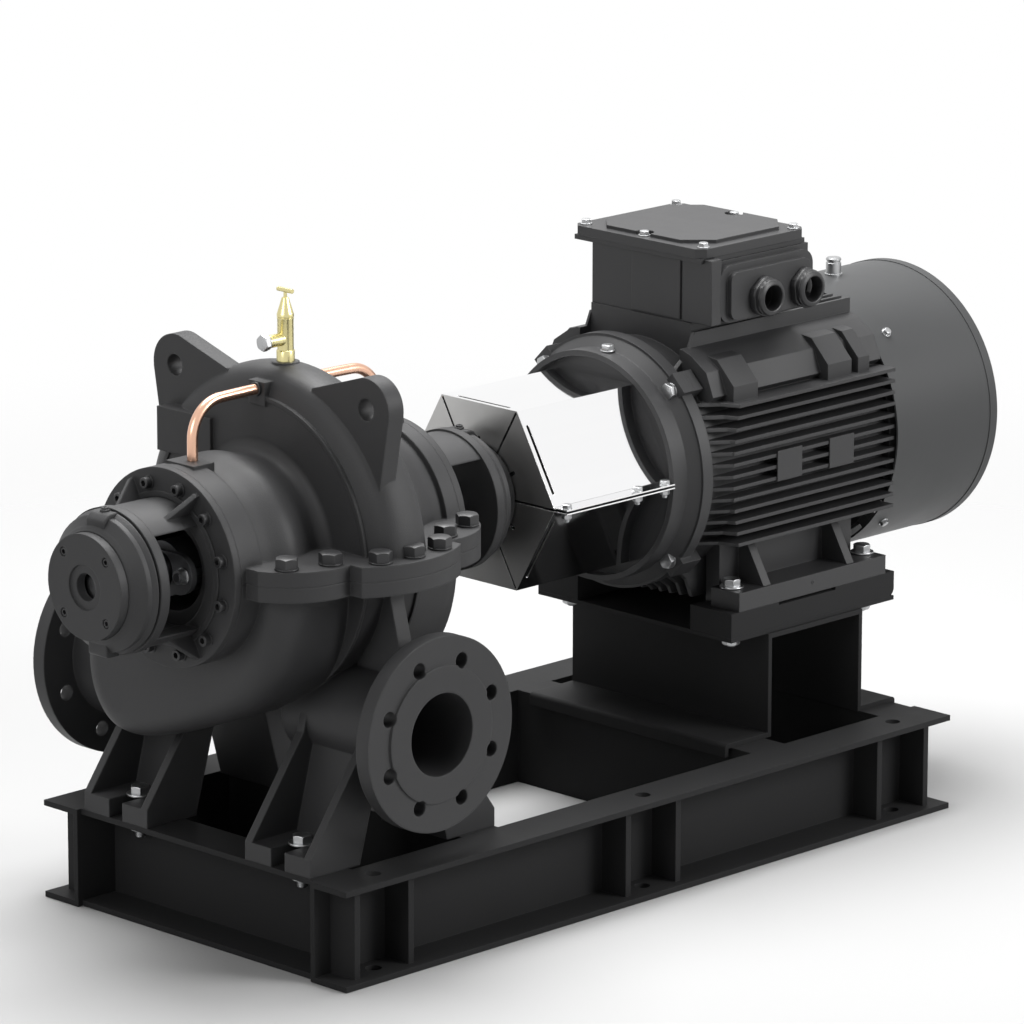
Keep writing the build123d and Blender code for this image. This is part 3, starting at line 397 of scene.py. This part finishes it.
CASTING_PAINT = painted(
    "casting_paint", dark=(0.024, 0.024, 0.025), light=(0.037, 0.037, 0.038), rub=(0.080, 0.080, 0.081),
    rough=0.52, grain=0.7, lumps=0.6, depth=0.0006, radius=0.0035, worn=2.2, specular=0.30)
MOTOR_PAINT = painted(
    "motor_paint", dark=(0.019, 0.019, 0.020), light=(0.028, 0.028, 0.029), rub=(0.070, 0.070, 0.072),
    rough=0.50, grain=0.5, lumps=0.4, depth=0.0004, radius=0.0018, worn=1.6, specular=0.42)
BASE_PAINT = painted(
    "base_paint", dark=(0.017, 0.017, 0.0175), light=(0.025, 0.025, 0.0255), rub=(0.052, 0.052, 0.054),
    rough=0.62, grain=0.5, lumps=0.2, depth=0.0003, radius=0.0016, worn=1.4, specular=0.10)
COWL_PAINT = painted(
    "cowl_paint", dark=(0.040, 0.041, 0.042), light=(0.050, 0.051, 0.052), rub=(0.085, 0.085, 0.087),
    rough=0.50, grain=0.35, lumps=0.1, depth=0.0002, radius=0.0010, worn=1.0, specular=0.32)
BLACK_PLASTIC = painted(
    "black_plastic", dark=(0.016, 0.016, 0.017), light=(0.022, 0.022, 0.023), rub=(0.05, 0.05, 0.052),
    rough=0.42, grain=0.3, lumps=0.1, depth=0.0001, radius=0.0008, worn=0.8, specular=0.4)
RUBBER = painted(
    "coupling_rubber", dark=(0.014, 0.014, 0.014), light=(0.022, 0.022, 0.022), rub=(0.03, 0.03, 0.03),
    rough=0.72, grain=0.6, lumps=0.3, depth=0.0002, radius=0.0008, worn=0.4, specular=0.2)
BLACK_BOLT = painted(
    "black_bolt", dark=(0.014, 0.014, 0.015), light=(0.024, 0.024, 0.025), rub=(0.09, 0.09, 0.092),
    rough=0.44, grain=0.4, lumps=0.1, depth=0.0001, radius=0.0008, worn=2.0, specular=0.45)
DARK_STEEL = bare_metal("dark_steel", dark=(0.09, 0.09, 0.095), light=(0.15, 0.15, 0.155),
                        rough=0.48, run=(1, 1, 1), depth=0.0002, radius=0.0008)
SHAFT_STEEL = bare_metal("shaft_steel", dark=(0.42, 0.42, 0.43), light=(0.56, 0.56, 0.57),
                         rough=0.26, run=(1, 0.05, 0.05), depth=0.0001, radius=0.0006)
ZINC_STEEL = bare_metal("zinc_steel", dark=(0.34, 0.345, 0.35), light=(0.48, 0.485, 0.49),
                        rough=0.34, run=(1, 1, 0.3), depth=0.0001, radius=0.0004)
POLISHED_SHEET = guard_sheet("polished_sheet")
COPPER_PIPE = bare_metal("copper_pipe", dark=(0.66, 0.38, 0.26), light=(0.84, 0.54, 0.40),
                         rough=0.26, run=(0.1, 1, 0.1), depth=0.00005, radius=0.0006)
VALVE_BRASS = bare_metal("valve_brass", dark=(0.60, 0.53, 0.25), light=(0.76, 0.69, 0.38),
                         rough=0.27, run=(1, 1, 0.2), depth=0.00008, radius=0.0007)

SLOT_FINISH = {
    "casting_paint": CASTING_PAINT, "base_paint": BASE_PAINT, "cowl_paint": COWL_PAINT,
    "dark_steel": DARK_STEEL, "shaft_steel": SHAFT_STEEL, "zinc_steel": ZINC_STEEL,
    "polished_sheet": POLISHED_SHEET, "copper_pipe": COPPER_PIPE, "valve_brass": VALVE_BRASS,
    "coupling_rubber": RUBBER, "black_plastic": BLACK_PLASTIC,
}
MOTOR_NODES = ("motor_frame", "motor_end_shield_de", "motor_end_shield_nde", "terminal_box_body",
               "terminal_box_lid", "gland_plate", "blank_plates")


def dress_nodes():
    for part in frame["record"]["subparts"]:
        node = part["node"]
        look = MOTOR_PAINT if node in MOTOR_NODES else SLOT_FINISH[part["material_slot"]]
        for slot in frame["nodes"][node].material_slots:
            slot.material = look


# Shapes as lists of corners and faces, about a local Z axis

def joined(*shapes):
    verts = []
    faces = []
    for more_verts, more_faces in shapes:
        start = len(verts)
        verts += more_verts
        faces += [tuple(start + i for i in face) for face in more_faces]
    return verts, faces


def moved(shape, matrix):
    return [matrix @ Vector(v) for v in shape[0]], shape[1]


def lifted(shape, z):
    return moved(shape, Matrix.Translation((0, 0, z)))


def band(low, high, count):
    """The faces between two rings, given the number of each ring's first corner."""
    return [(low + i, low + (i + 1) % count, high + (i + 1) % count, high + i) for i in range(count)]


def bands(rings, starts):
    """All the rings' corners, with bands of faces from each first corner in starts to the next."""
    verts = [v for ring in rings for v in ring]
    faces = [face for low, high in zip(starts, starts[1:]) for face in band(low, high, len(rings[0]))]
    return verts, faces


def skin_rings(rings):
    """A solid over a stack of rings, with its two ends closed."""
    count = len(rings[0])
    verts, faces = bands(rings, range(0, len(rings) * count, count))
    top = (len(rings) - 1) * count
    faces.append(tuple(reversed(range(count))))
    faces.append(tuple(range(top, top + count)))
    return verts, faces


def ring_loop(rings):
    """A solid with a hole through it, from ring to ring and back to the first."""
    count = len(rings[0])
    return bands(rings, [*range(0, len(rings) * count, count), 0])


def circle(radius, z, count):
    turns = [2 * math.pi * i / count for i in range(count)]
    return [Vector((radius * math.cos(a), radius * math.sin(a), z)) for a in turns]


def turned(steps, count=40):
    """A solid turned on a lathe, from (radius, height) steps."""
    return skin_rings([circle(r, z, count) for r, z in steps])


def turned_loop(steps, count):
    """A turned ring with a hole, from (radius, height) steps all the way round its section."""
    return ring_loop([circle(r, z, count) for r, z in steps])


def tube(inner, outer, length, count=40, chamfer=0.0):
    """A tube, with its two outer edges chamfered where a chamfer is given."""
    if not chamfer:
        return turned_loop(((inner, 0), (outer, 0), (outer, length), (inner, length)), count)
    rim = outer - chamfer
    return turned_loop(((inner, 0), (rim, 0), (outer, chamfer), (outer, length - chamfer),
                        (rim, length), (inner, length)), count)


def at_radius(corner, radius, z):
    """The point in a corner's direction from the axis, at another radius and height."""
    return Vector((corner.x, corner.y, 0)).normalized() * radius + Vector((0, 0, z))


def six_sided(across, z, count=36):
    """A ring of corners round a hexagon, given its width across the flats."""
    ring = []
    for i in range(count):
        a = 2 * math.pi * i / count
        off = (a + math.pi / 6) % (math.pi / 3) - math.pi / 6
        r = across / 2 / math.cos(off)
        ring.append(Vector((r * math.cos(a), r * math.sin(a), z)))
    return ring


def six_or_round(across, radius, z, count):
    """A hexagon whose corners are turned off to a radius."""
    return [at_radius(v, min(v.xy.length, radius), z) for v in six_sided(across, z, count)]


def hex_head(across, height, chamfer_low=False):
    """A hexagon whose corners are turned off at 30 degrees, as on a real bolt head."""
    tan_30 = 0.577
    flat = across * 0.475
    sides = six_sided(across, 0.0)
    drops = [(v.xy.length - flat) * tan_30 for v in sides]
    shoulder = [Vector((v.x, v.y, height - drop)) for v, drop in zip(sides, drops)]
    top = [at_radius(v, flat, height) for v in sides]
    if not chamfer_low:
        return skin_rings([sides, shoulder, top])
    low = [Vector((v.x, v.y, drop)) for v, drop in zip(sides, drops)]
    foot = [at_radius(v, flat, 0) for v in sides]
    return skin_rings([foot, low, shoulder, top])


def thread(radius, length, pitch):
    """A screw thread as a true helix, with a pointed end."""
    around = 20
    rings_a_turn = 6
    depth = pitch * 0.55
    point_slope = 0.8
    steps = max(4, int(length / pitch * rings_a_turn))
    rings = []
    for level in range(steps + 1):
        z = length * level / steps
        ring = []
        for i in range(around):
            a = 2 * math.pi * i / around
            wave = abs(2 * ((z / pitch - i / around) % 1.0) - 1)
            r = radius - depth * wave
            if z > length - pitch:
                r = min(r, radius - (z - length + pitch) * point_slope)
            ring.append(Vector((r * math.cos(a), r * math.sin(a), z)))
        rings.append(ring)
    return skin_rings(rings)


def washer(bore, rim, thick):
    return tube(bore, rim, thick, 32, min(thick, rim - bore) * 0.2)


def socket_head(radius, height, key):
    """A cylinder head with a six-sided socket and a chamfered rim."""
    count = 36
    chamfer = radius * 0.12
    floor = height * 0.35
    return skin_rings([circle(radius, 0, count), circle(radius, height - chamfer, count),
                       circle(radius - chamfer, height, count), six_sided(key, height, count),
                       six_sided(key, floor, count)])


def nut_on_stud(across, height, radius, pitch, tip):
    """A nut, and the end of the stud that stands out of it by the tip."""
    sunk = 0.002
    return joined(hex_head(across, height, True), lifted(thread(radius, tip + sunk, pitch), height - sunk))


def over_washer(bore, rim, thick, top):
    """A washer with a head or a nut standing on it."""
    return joined(washer(bore, rim, thick), lifted(top, thick))


def sawn(outline, half):
    """A bar of one outline, from (along, up) points, reaching half to either side in Y."""
    return skin_rings([[Vector((a, y, b)) for a, b in outline] for y in (-half, half)])


def swept(points, radius, count=28):
    """A round bar along a line of points that lie in one upright plane."""
    across = Vector((0, 1, 0))
    turns = [2 * math.pi * k / count for k in range(count)]
    rings = []
    for i, point in enumerate(points):
        before = points[max(0, i - 1)]
        after = points[min(len(points) - 1, i + 1)]
        up = (after - before).normalized().cross(across)
        rings.append([point + (across * math.cos(a) + up * math.sin(a)) * radius for a in turns])
    return skin_rings(rings)


def plate(x, y, z):
    """A flat bar between two corners, given as a pair for each axis."""
    return skin_rings([[Vector((x[0], y[0], h)), Vector((x[1], y[0], h)), Vector((x[1], y[1], h)),
                        Vector((x[0], y[1], h))] for h in z])


# Placing

def facing(point, axis, spin=0.0):
    turn = Vector(axis).to_track_quat("Z", "Y").to_matrix().to_4x4()
    return Matrix.Translation(Vector(point)) @ turn @ Matrix.Rotation(math.radians(spin), 4, "Z")


def on_circle(x, radius, count, start, axis):
    """Places round the shaft, each turned on a little so that no two heads stand alike."""
    places = []
    for i in range(count):
        a = math.radians(start + 360 / count * i)
        places.append(facing((x, radius * math.cos(a), AXIS_Z + radius * math.sin(a)), axis, 17 * i))
    return places


def on_grid(xs, ys, z, axis, spin):
    return [facing((x, y, z), axis, spin) for x in xs for y in ys]


def shade(mesh, angle):
    for face in mesh.polygons:
        face.use_smooth = True
    mesh.set_sharp_from_angle(angle=math.radians(angle))


def add_piece(name, shape, material, slot, body="pump_set", angle=32, bevel=0.0):
    mesh = bpy.data.meshes.new(name)
    mesh.from_pydata([tuple(v) for v in shape[0]], [], shape[1])
    form = bmesh.new()
    form.from_mesh(mesh)
    bmesh.ops.recalc_face_normals(form, faces=form.faces)
    form.to_mesh(mesh)
    form.free()
    piece = add_object(name, mesh)
    mesh.materials.append(material)
    if bevel:
        rounding = piece.modifiers.new("rounded_edges", "BEVEL")
        rounding.width = bevel
        rounding.segments = 2
        rounding.limit_method = "ANGLE"
        rounding.angle_limit = math.radians(35)
    shade(mesh, angle)
    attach(piece, body)
    return piece


def repeat(name, shape, places, material, slot, **more):
    """One piece made of copies of a shape, one at each place."""
    return add_piece(name, joined(*[moved(shape, place) for place in places]), material, slot, **more)


# Pump fasteners and fittings

def split_flange_fasteners():
    """The bolts of the split flange, in mirrored pairs."""
    places = []
    for i, (s, y) in enumerate(SPLIT_BOLTS):
        for side in SIDES:
            place = (PUMP_X + s * MM, side * y * MM, AXIS_Z + SPLIT_T)
            places.append(facing(place, UP, spin=12 + 23 * i))
    bolt = over_washer(bore=0.009, rim=0.0165, thick=0.0028, top=hex_head(across=0.0286, height=0.0138))
    repeat("split_flange_bolts", bolt, places, BLACK_BOLT, "dark_steel", bevel=0.00035)


def bracket_screws():
    """The socket screws round each bearing bracket's flange, and the turned ridge inside them."""
    sunk = 0.0002
    head = socket_head(radius=0.0078, height=0.0095, key=0.0078)
    screw = over_washer(bore=0.005, rim=0.0098, thick=0.0016, top=head)
    ridge = tube(inner=0.0975, outer=0.106, length=0.0028, count=96, chamfer=0.0008)
    for word, side, axis in PUMP_ENDS:
        x = PUMP_X + side * (RING_S[side] + BRACKET_T)
        places = on_circle(x, BRACKET_BOLT_R, count=12, start=15, axis=axis)
        repeat("bracket_screws_" + word, screw, places, BLACK_BOLT, "dark_steel")
        repeat("bracket_ridge_" + word, ridge, [facing((x - side * sunk, 0, AXIS_Z), axis)], CASTING_PAINT,
               "casting_paint")


def cap_screws():
    """Four screws in each bearing cap: sunk socket heads at the free end, hexagons at the driven end."""
    sunk = 0.008
    screw = socket_head(radius=0.0058, height=0.0072, key=0.0062)
    places = on_circle(CAP_FACE_X + sunk, CAP_BOLT_R, count=4, start=45, axis=TO_PUMP)
    repeat("cap_screws_nde", screw, places, BLACK_BOLT, "dark_steel")
    bolt = over_washer(bore=0.004, rim=0.009, thick=0.0014, top=hex_head(across=0.0128, height=0.0062))
    places = on_circle(PUMP_X + DE_CAP_S, CAP_BOLT_R, count=4, start=45, axis=TO_MOTOR)
    repeat("cap_screws_de", bolt, places, BLACK_BOLT, "dark_steel")


def gland_nuts():
    """The round nuts that draw up the two gland followers, seen through the brackets' windows."""
    stand = 0.0231
    reach = 0.048
    places = []
    for _, side, axis in PUMP_ENDS:
        for y in (-reach, reach):
            places.append(facing((PUMP_X + side * (RING_S[side] + stand), y, AXIS_Z), axis, spin=8))
    nut = over_washer(bore=0.006, rim=0.0115, thick=0.002, top=tube(inner=0.0061, outer=0.0095, length=0.009))
    repeat("gland_nuts", nut, places, ZINC_STEEL, "zinc_steel")


def pump_foot_bolts():
    """The pump's holding-down bolts, with their nuts and stud ends under the channels' top flanges."""
    xs = (PUMP_X - PUMP_FOOT_S, PUMP_X + PUMP_FOOT_S)
    ys = (-PUMP_FOOT_Y, PUMP_FOOT_Y)
    bolt = over_washer(bore=0.009, rim=0.019, thick=0.0032, top=hex_head(across=0.0245, height=0.0105))
    places = on_grid(xs, ys, FOOT_TOP_Z, UP, spin=20)
    repeat("pump_foot_bolts", bolt, places, ZINC_STEEL, "zinc_steel", bevel=0.0005)
    nut = over_washer(bore=0.009, rim=0.017, thick=0.003,
                      top=nut_on_stud(across=0.0245, height=0.0135, radius=0.0079, pitch=0.002, tip=0.010))
    places = on_grid(xs, ys, BASE_H - BASE_FLANGE_T, DOWN, spin=8)
    repeat("pump_foot_nuts", nut, places, ZINC_STEEL, "zinc_steel")


def drum_noses():
    """The tapered nose of each bearing drum, with a cast lug above and below."""
    start_s = 0.3218
    lug_half = 0.0180
    nose = ((0.0700, 0.3440), (0.0732, 0.3536), (0.0742, 0.3520), (0.0760, 0.3506), (0.0790, 0.3490),
            (0.0972, 0.3246), (0.0978, 0.3232), (0.0972, 0.3222), (0.0900, start_s))
    lug_above = ((0.3225, 0.0700), (0.3470, 0.0700), (0.3470, 0.0880), (0.3400, 0.0955), (0.3340, 0.0978),
                 (0.3225, 0.0978))
    lug_below = ((0.3225, 0.0700), (0.3460, 0.0700), (0.3460, 0.0960), (0.3430, 0.0985), (0.3225, 0.0985))
    for word, side, axis in PUMP_ENDS:
        cone = turned_loop([(r, s - start_s) for r, s in nose], count=112)
        repeat("drum_nose_" + word, cone, [facing((PUMP_X + side * start_s, 0, AXIS_Z), axis)], CASTING_PAINT,
               "casting_paint", angle=30)
        above = sawn([(PUMP_X + side * s, AXIS_Z + r) for s, r in lug_above], lug_half)
        below = sawn([(PUMP_X + side * s, AXIS_Z - r) for s, r in lug_below], lug_half)
        add_piece("drum_lugs_" + word, joined(above, below), CASTING_PAINT, "casting_paint", bevel=0.0016)


def drum_plugs():
    """A low plug with a six-sided socket on top of each bearing drum."""
    plug_s = 0.3290
    plug_r = 0.0974
    step_z = 0.0028
    collar = turned(((0.0068, 0), (0.0068, 0.0022), (0.0060, 0.0030)), count=28)
    plug = joined(collar, lifted(socket_head(radius=0.0050, height=0.0030, key=0.0048), step_z))
    places = [facing((PUMP_X + side * plug_s, 0, AXIS_Z + plug_r), UP) for side in SIDES]
    repeat("drum_plugs", plug, places, BLACK_BOLT, "dark_steel")


def flush_pipes():
    """Bent copper tubes from the crown ports down to the pads on the two rings."""
    pipe_r = 0.0074
    upright_s, bend_s, bend_r, bend_z = 0.1715, 0.1215, 0.050, 0.7025
    port_s, port_z = 0.0545, 0.7535
    collar_s = 0.0541
    pad_r = 0.1392
    route = [(upright_s, AXIS_Z + pad_r), (upright_s, 0.690), (upright_s, 0.7005)]
    for degrees in range(6, 91, 6):
        a = math.radians(degrees)
        route.append((bend_s + bend_r * math.cos(a), bend_z + bend_r * math.sin(a)))
    route += [(0.100, 0.7530), (port_s, port_z)]
    shapes = []
    collars = []
    for _, side, axis in PUMP_ENDS:
        shapes.append(swept([Vector((PUMP_X + side * s, 0, z)) for s, z in route], pipe_r))
        collars.append(facing((PUMP_X + side * collar_s, 0, port_z), axis, spin=10))
    pipes = add_piece("flush_pipes_bent", joined(*shapes), COPPER_PIPE, "copper_pipe", angle=50)
    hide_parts("flush_pipes")
    collar = tube(inner=0.0075, outer=0.0098, length=0.0035, count=32, chamfer=0.0008)
    repeat("flush_pipe_collars", collar, collars, BLACK_BOLT, "dark_steel")


def vent_body():
    """The brass air cock: a turned body with a groove under its cone, a branch to one side and a plug."""
    branch_z = VENT_Z0 + 0.0312
    branch_x = PUMP_X - 0.0072
    plug_x = PUMP_X - 0.0340
    flange_t = 0.0022
    body = turned(((0.0125, 0), (0.0125, 0.0150), (0.0121, 0.0158), (0.0112, 0.0162), (0.0112, 0.0585),
                   (0.0116, 0.0592), (0.0116, 0.0602), (0.0109, 0.0606), (0.0109, 0.0614), (0.0117, 0.0620),
                   (0.0117, 0.0655), (0.0112, 0.0668), (0.0052, 0.0865), (0.0045, 0.0880)), count=56)
    branch = turned(((0.0088, 0), (0.0088, 0.0222), (0.0080, 0.0228), (0.0080, 0.0240), (0.0090, 0.0246),
                     (0.0090, 0.0262), (0.0084, 0.0268)), count=44)
    cock = joined(moved(body, facing((PUMP_X, 0, VENT_Z0), UP)),
                  moved(branch, facing((branch_x, 0, branch_z), TO_PUMP)))
    piece = add_piece("vent_valve_turned", cock, VALVE_BRASS, "valve_brass", angle=40)
    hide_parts("vent_valve")
    plug = joined(tube(inner=0.004, outer=0.0108, length=flange_t, chamfer=0.0006),
                  lifted(hex_head(across=0.0205, height=0.0078), flange_t))
    place = facing((plug_x, 0, branch_z), TO_PUMP, spin=12)
    screw = repeat("vent_plug_turned", plug, [place], ZINC_STEEL, "zinc_steel", bevel=0.0004)
    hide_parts("vent_plug")
    seat = turned(((0.0198, -0.0095), (0.0198, -0.0035), (0.0185, -0.0010), (0.0172, 0.0004),
                   (0.0130, 0.0010)), count=56)
    repeat("vent_seat", seat, [facing((PUMP_X, 0, VENT_Z0), UP)], BLACK_BOLT, "dark_steel")


# Motor fasteners and fittings

def shield_bolts():
    """Four bolts round the front end shield, and the upright one on its rim."""
    rim_d = 0.022
    upright_x, upright_y, upright_r = 0.185, -0.015, 0.1655
    bolt = over_washer(bore=0.006, rim=0.0118, thick=0.0012, top=hex_head(across=0.0215, height=0.0092))
    places = on_circle(MOTOR_X0 - rim_d, SHIELD_BOLT_R, count=4, start=45, axis=TO_PUMP)
    repeat("shield_bolts_front", bolt, places, ZINC_STEEL, "zinc_steel", bevel=0.0004)
    upright = over_washer(bore=0.005, rim=0.0105, thick=0.0018, top=hex_head(across=0.0165, height=0.0075))
    place = facing((upright_x, upright_y, AXIS_Z + upright_r), UP, spin=20)
    repeat("shield_top_bolt", upright, [place], ZINC_STEEL, "zinc_steel", bevel=0.0004)


def guard_bolts():
    """Bolts and nuts that clamp the two halves of the guard along their side flanges."""
    face = GUARD_HALF_SEAM + GUARD_SHEET_T
    tops = []
    lows = []
    for y in (-GUARD_BOLT_Y, GUARD_BOLT_Y):
        for x in GUARD_BOLT_X:
            tops.append(facing((x, y, AXIS_Z + face), UP, spin=25))
            lows.append(facing((x, y, AXIS_Z - face), DOWN, spin=10))
    bolt = over_washer(bore=0.003, rim=0.0075, thick=0.0012, top=hex_head(across=0.0125, height=0.0052))
    repeat("guard_bolts", bolt, tops, ZINC_STEEL, "zinc_steel", bevel=0.0003)
    nut = over_washer(bore=0.003, rim=0.0075, thick=0.0012,
                      top=nut_on_stud(across=0.0125, height=0.0060, radius=0.0039, pitch=0.00125, tip=0.005))
    repeat("guard_nuts", nut, lows, ZINC_STEEL, "zinc_steel")


def motor_foot_bolts():
    """The motor's holding-down bolts, their nuts under the rails, and a thin dark ring on each foot, painted
    shade that stands for the dark inside of its drain hole.
    """
    sunk = 0.0002
    drain_x, drain_y, drain_z = 0.4276, 0.1920, 0.3513
    ys = (-MOTOR_BOLT_Y, MOTOR_BOLT_Y)
    bolt = over_washer(bore=0.009, rim=0.0175, thick=0.003, top=hex_head(across=0.0225, height=0.0105))
    places = on_grid(MOTOR_BOLT_X, ys, MOTOR_FOOT_TOP, UP, spin=25)
    repeat("motor_foot_bolts", bolt, places, ZINC_STEEL, "zinc_steel", bevel=0.0005)
    nut = over_washer(bore=0.008, rim=0.0165, thick=0.0025,
                      top=nut_on_stud(across=0.0225, height=0.0110, radius=0.0069, pitch=0.002, tip=0.0030))
    places = on_grid(MOTOR_BOLT_X, ys, RAIL_LOW_Z - sunk, DOWN, spin=12)
    repeat("motor_foot_nuts", nut, places, ZINC_STEEL, "zinc_steel")
    # A thin dark ring, not a hole: painted shade that stands for the dark inside of each foot's drain hole.
    ring = tube(inner=0.0012, outer=0.0032, length=0.0005, count=24, chamfer=0.0001)
    places = [facing((drain_x, side * drain_y, drain_z), (0, side, 0)) for side in SIDES]
    repeat("foot_hole_shade_rings", ring, places, BLACK_BOLT, "dark_steel")


def lid_bolts():
    """The six bolts that hold the terminal box's lid down."""
    bolt = over_washer(bore=0.004, rim=0.0088, thick=0.0016, top=hex_head(across=0.0128, height=0.0056))
    places = on_grid(LID_BOLT_X, (-LID_BOLT_Y, 0.0, LID_BOLT_Y), LID_TOP, UP, spin=15)
    repeat("lid_bolts", bolt, places, ZINC_STEEL, "zinc_steel", bevel=0.0003)


def cowl_screws():
    """Four screws through the fan cowl's side, near its motor end."""
    lap = 0.037
    places = []
    for angle in (45, 135, 225, 315):
        a = math.radians(angle)
        out = Vector((0, math.cos(a), math.sin(a)))
        places.append(facing(Vector((MOTOR_X1 + lap, 0, AXIS_Z)) + out * COWL_R, out, spin=10))
    bolt = over_washer(bore=0.003, rim=0.0075, thick=0.0012, top=hex_head(across=0.0105, height=0.0048))
    repeat("cowl_screws", bolt, places, ZINC_STEEL, "zinc_steel", bevel=0.0003)


def cowl_grease_point():
    """The grease point that stands on top of the fan cowl."""
    body = turned(((0.0130, -0.002), (0.0130, 0.0020), (0.0112, 0.0026), (0.0112, 0.0180), (0.0100, 0.0190),
                   (0.0100, 0.0210), (0.0112, 0.0218), (0.0112, 0.0238), (0.0098, 0.0256), (0.0060, 0.0262)))
    place = facing((GREASE_X, 0, AXIS_Z + COWL_R), UP)
    repeat("cowl_grease_point", body, [place], ZINC_STEEL, "zinc_steel")


def gland_caps():
    """The clamping nuts of the open cable glands: six flats, a round collar and a domed mouth."""
    count = 72
    stand = 0.0225
    flats = ((0.0555, 0.0295, -0.0035), (0.0555, 0.0295, 0.0030), (0.0545, 0.0285, 0.0045),
             (0.0520, 0.0272, 0.0050), (0.0520, 0.0272, 0.0105))
    mouth = ((0.0260, 0.0112), (0.0260, 0.0122), (0.0248, 0.0142), (0.0226, 0.0156), (0.0200, 0.0162),
             (0.0186, 0.0156), (0.0180, 0.0142), (0.0180, -0.0035))
    rings = [six_or_round(across, radius, z, count) for across, radius, z in flats]
    rings += [circle(r, z, count) for r, z in mouth]
    places = [facing((x, BAY_Y - stand, GLAND_Z), NEAR, spin=8) for x in GLAND_X]
    repeat("gland_caps", ring_loop(rings), places, BLACK_PLASTIC, "black_plastic", angle=24)


def box_panels():
    """A raised panel on the front of the terminal box, and its squared corner."""
    panel = plate(x=(0.2668, 0.2715), y=(-0.0772, 0.0180), z=(0.7432, 0.8365))
    corner = plate(x=(0.2664, 0.2870), y=(-0.1388, -0.0820), z=(0.7425, 0.8372))
    add_piece("terminal_box_panels", joined(panel, corner), MOTOR_PAINT, "casting_paint", bevel=0.0012)


def weld(mesh):
    """Joins the corners that share a place, turns every face outwards and drops the stored normals."""
    if "custom_normal" in mesh.attributes:
        mesh.attributes.remove(mesh.attributes["custom_normal"])
    form = bmesh.new()
    form.from_mesh(mesh)
    bmesh.ops.remove_doubles(form, verts=form.verts, dist=0.000002)
    bmesh.ops.recalc_face_normals(form, faces=form.faces)
    form.to_mesh(mesh)
    form.free()


def cut_off(mesh, shape):
    """A new mesh, which is the given one less a block. The given one is welded on the way."""
    verts, faces = shape
    block = bpy.data.meshes.new("teeth_block")
    block.from_pydata([tuple(v) for v in verts], [], faces)
    weld(block)
    weld(mesh)
    cutter = add_object("teeth_block", block)
    work = add_object("motor_frame_work", mesh)
    cut = work.modifiers.new("cut", "BOOLEAN")
    cut.operation = "DIFFERENCE"
    cut.solver = "EXACT"
    cut.object = cutter
    bpy.context.view_layer.update()
    seen = work.evaluated_get(bpy.context.evaluated_depsgraph_get())
    left = bpy.data.meshes.new_from_object(seen)
    bpy.data.objects.remove(work)
    bpy.data.objects.remove(cutter)
    return left


def frame_without_top_teeth():
    """The motor frame with its upright fins cut back to the terminal box's neck, down to the round core."""
    core_r = 0.17205
    half = 0.0979
    block_top = AXIS_Z + 0.235
    kept_skin = 0.0002
    x_ends = (MOTOR_X0 + kept_skin, NECK_X)
    steps = 24
    reach = math.asin(half / core_r)
    turns = [reach * (1 - 2 * i / steps) for i in range(steps + 1)]
    outline = [(core_r * math.sin(a), AXIS_Z + core_r * math.cos(a)) for a in turns]
    outline += [(-half, block_top), (half, block_top)]
    block = skin_rings([[Vector((x, y, z)) for y, z in outline] for x in x_ends])
    mesh = cut_off(frame["nodes"]["motor_frame"].data.copy(), block)
    mesh.name = "motor_frame_trimmed"
    mesh.materials.clear()
    mesh.materials.append(MOTOR_PAINT)
    piece = add_object("motor_frame_trimmed", mesh)
    shade(mesh, angle=25)
    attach(piece, "pump_set")
    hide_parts("motor_frame")


set_camera()
set_studio()
dress_nodes()
split_flange_fasteners()
bracket_screws()
cap_screws()
gland_nuts()
pump_foot_bolts()
drum_noses()
drum_plugs()
flush_pipes()
vent_body()
shield_bolts()
guard_bolts()
motor_foot_bolts()
lid_bolts()
cowl_screws()
cowl_grease_point()
gland_caps()
box_panels()
frame_without_top_teeth()
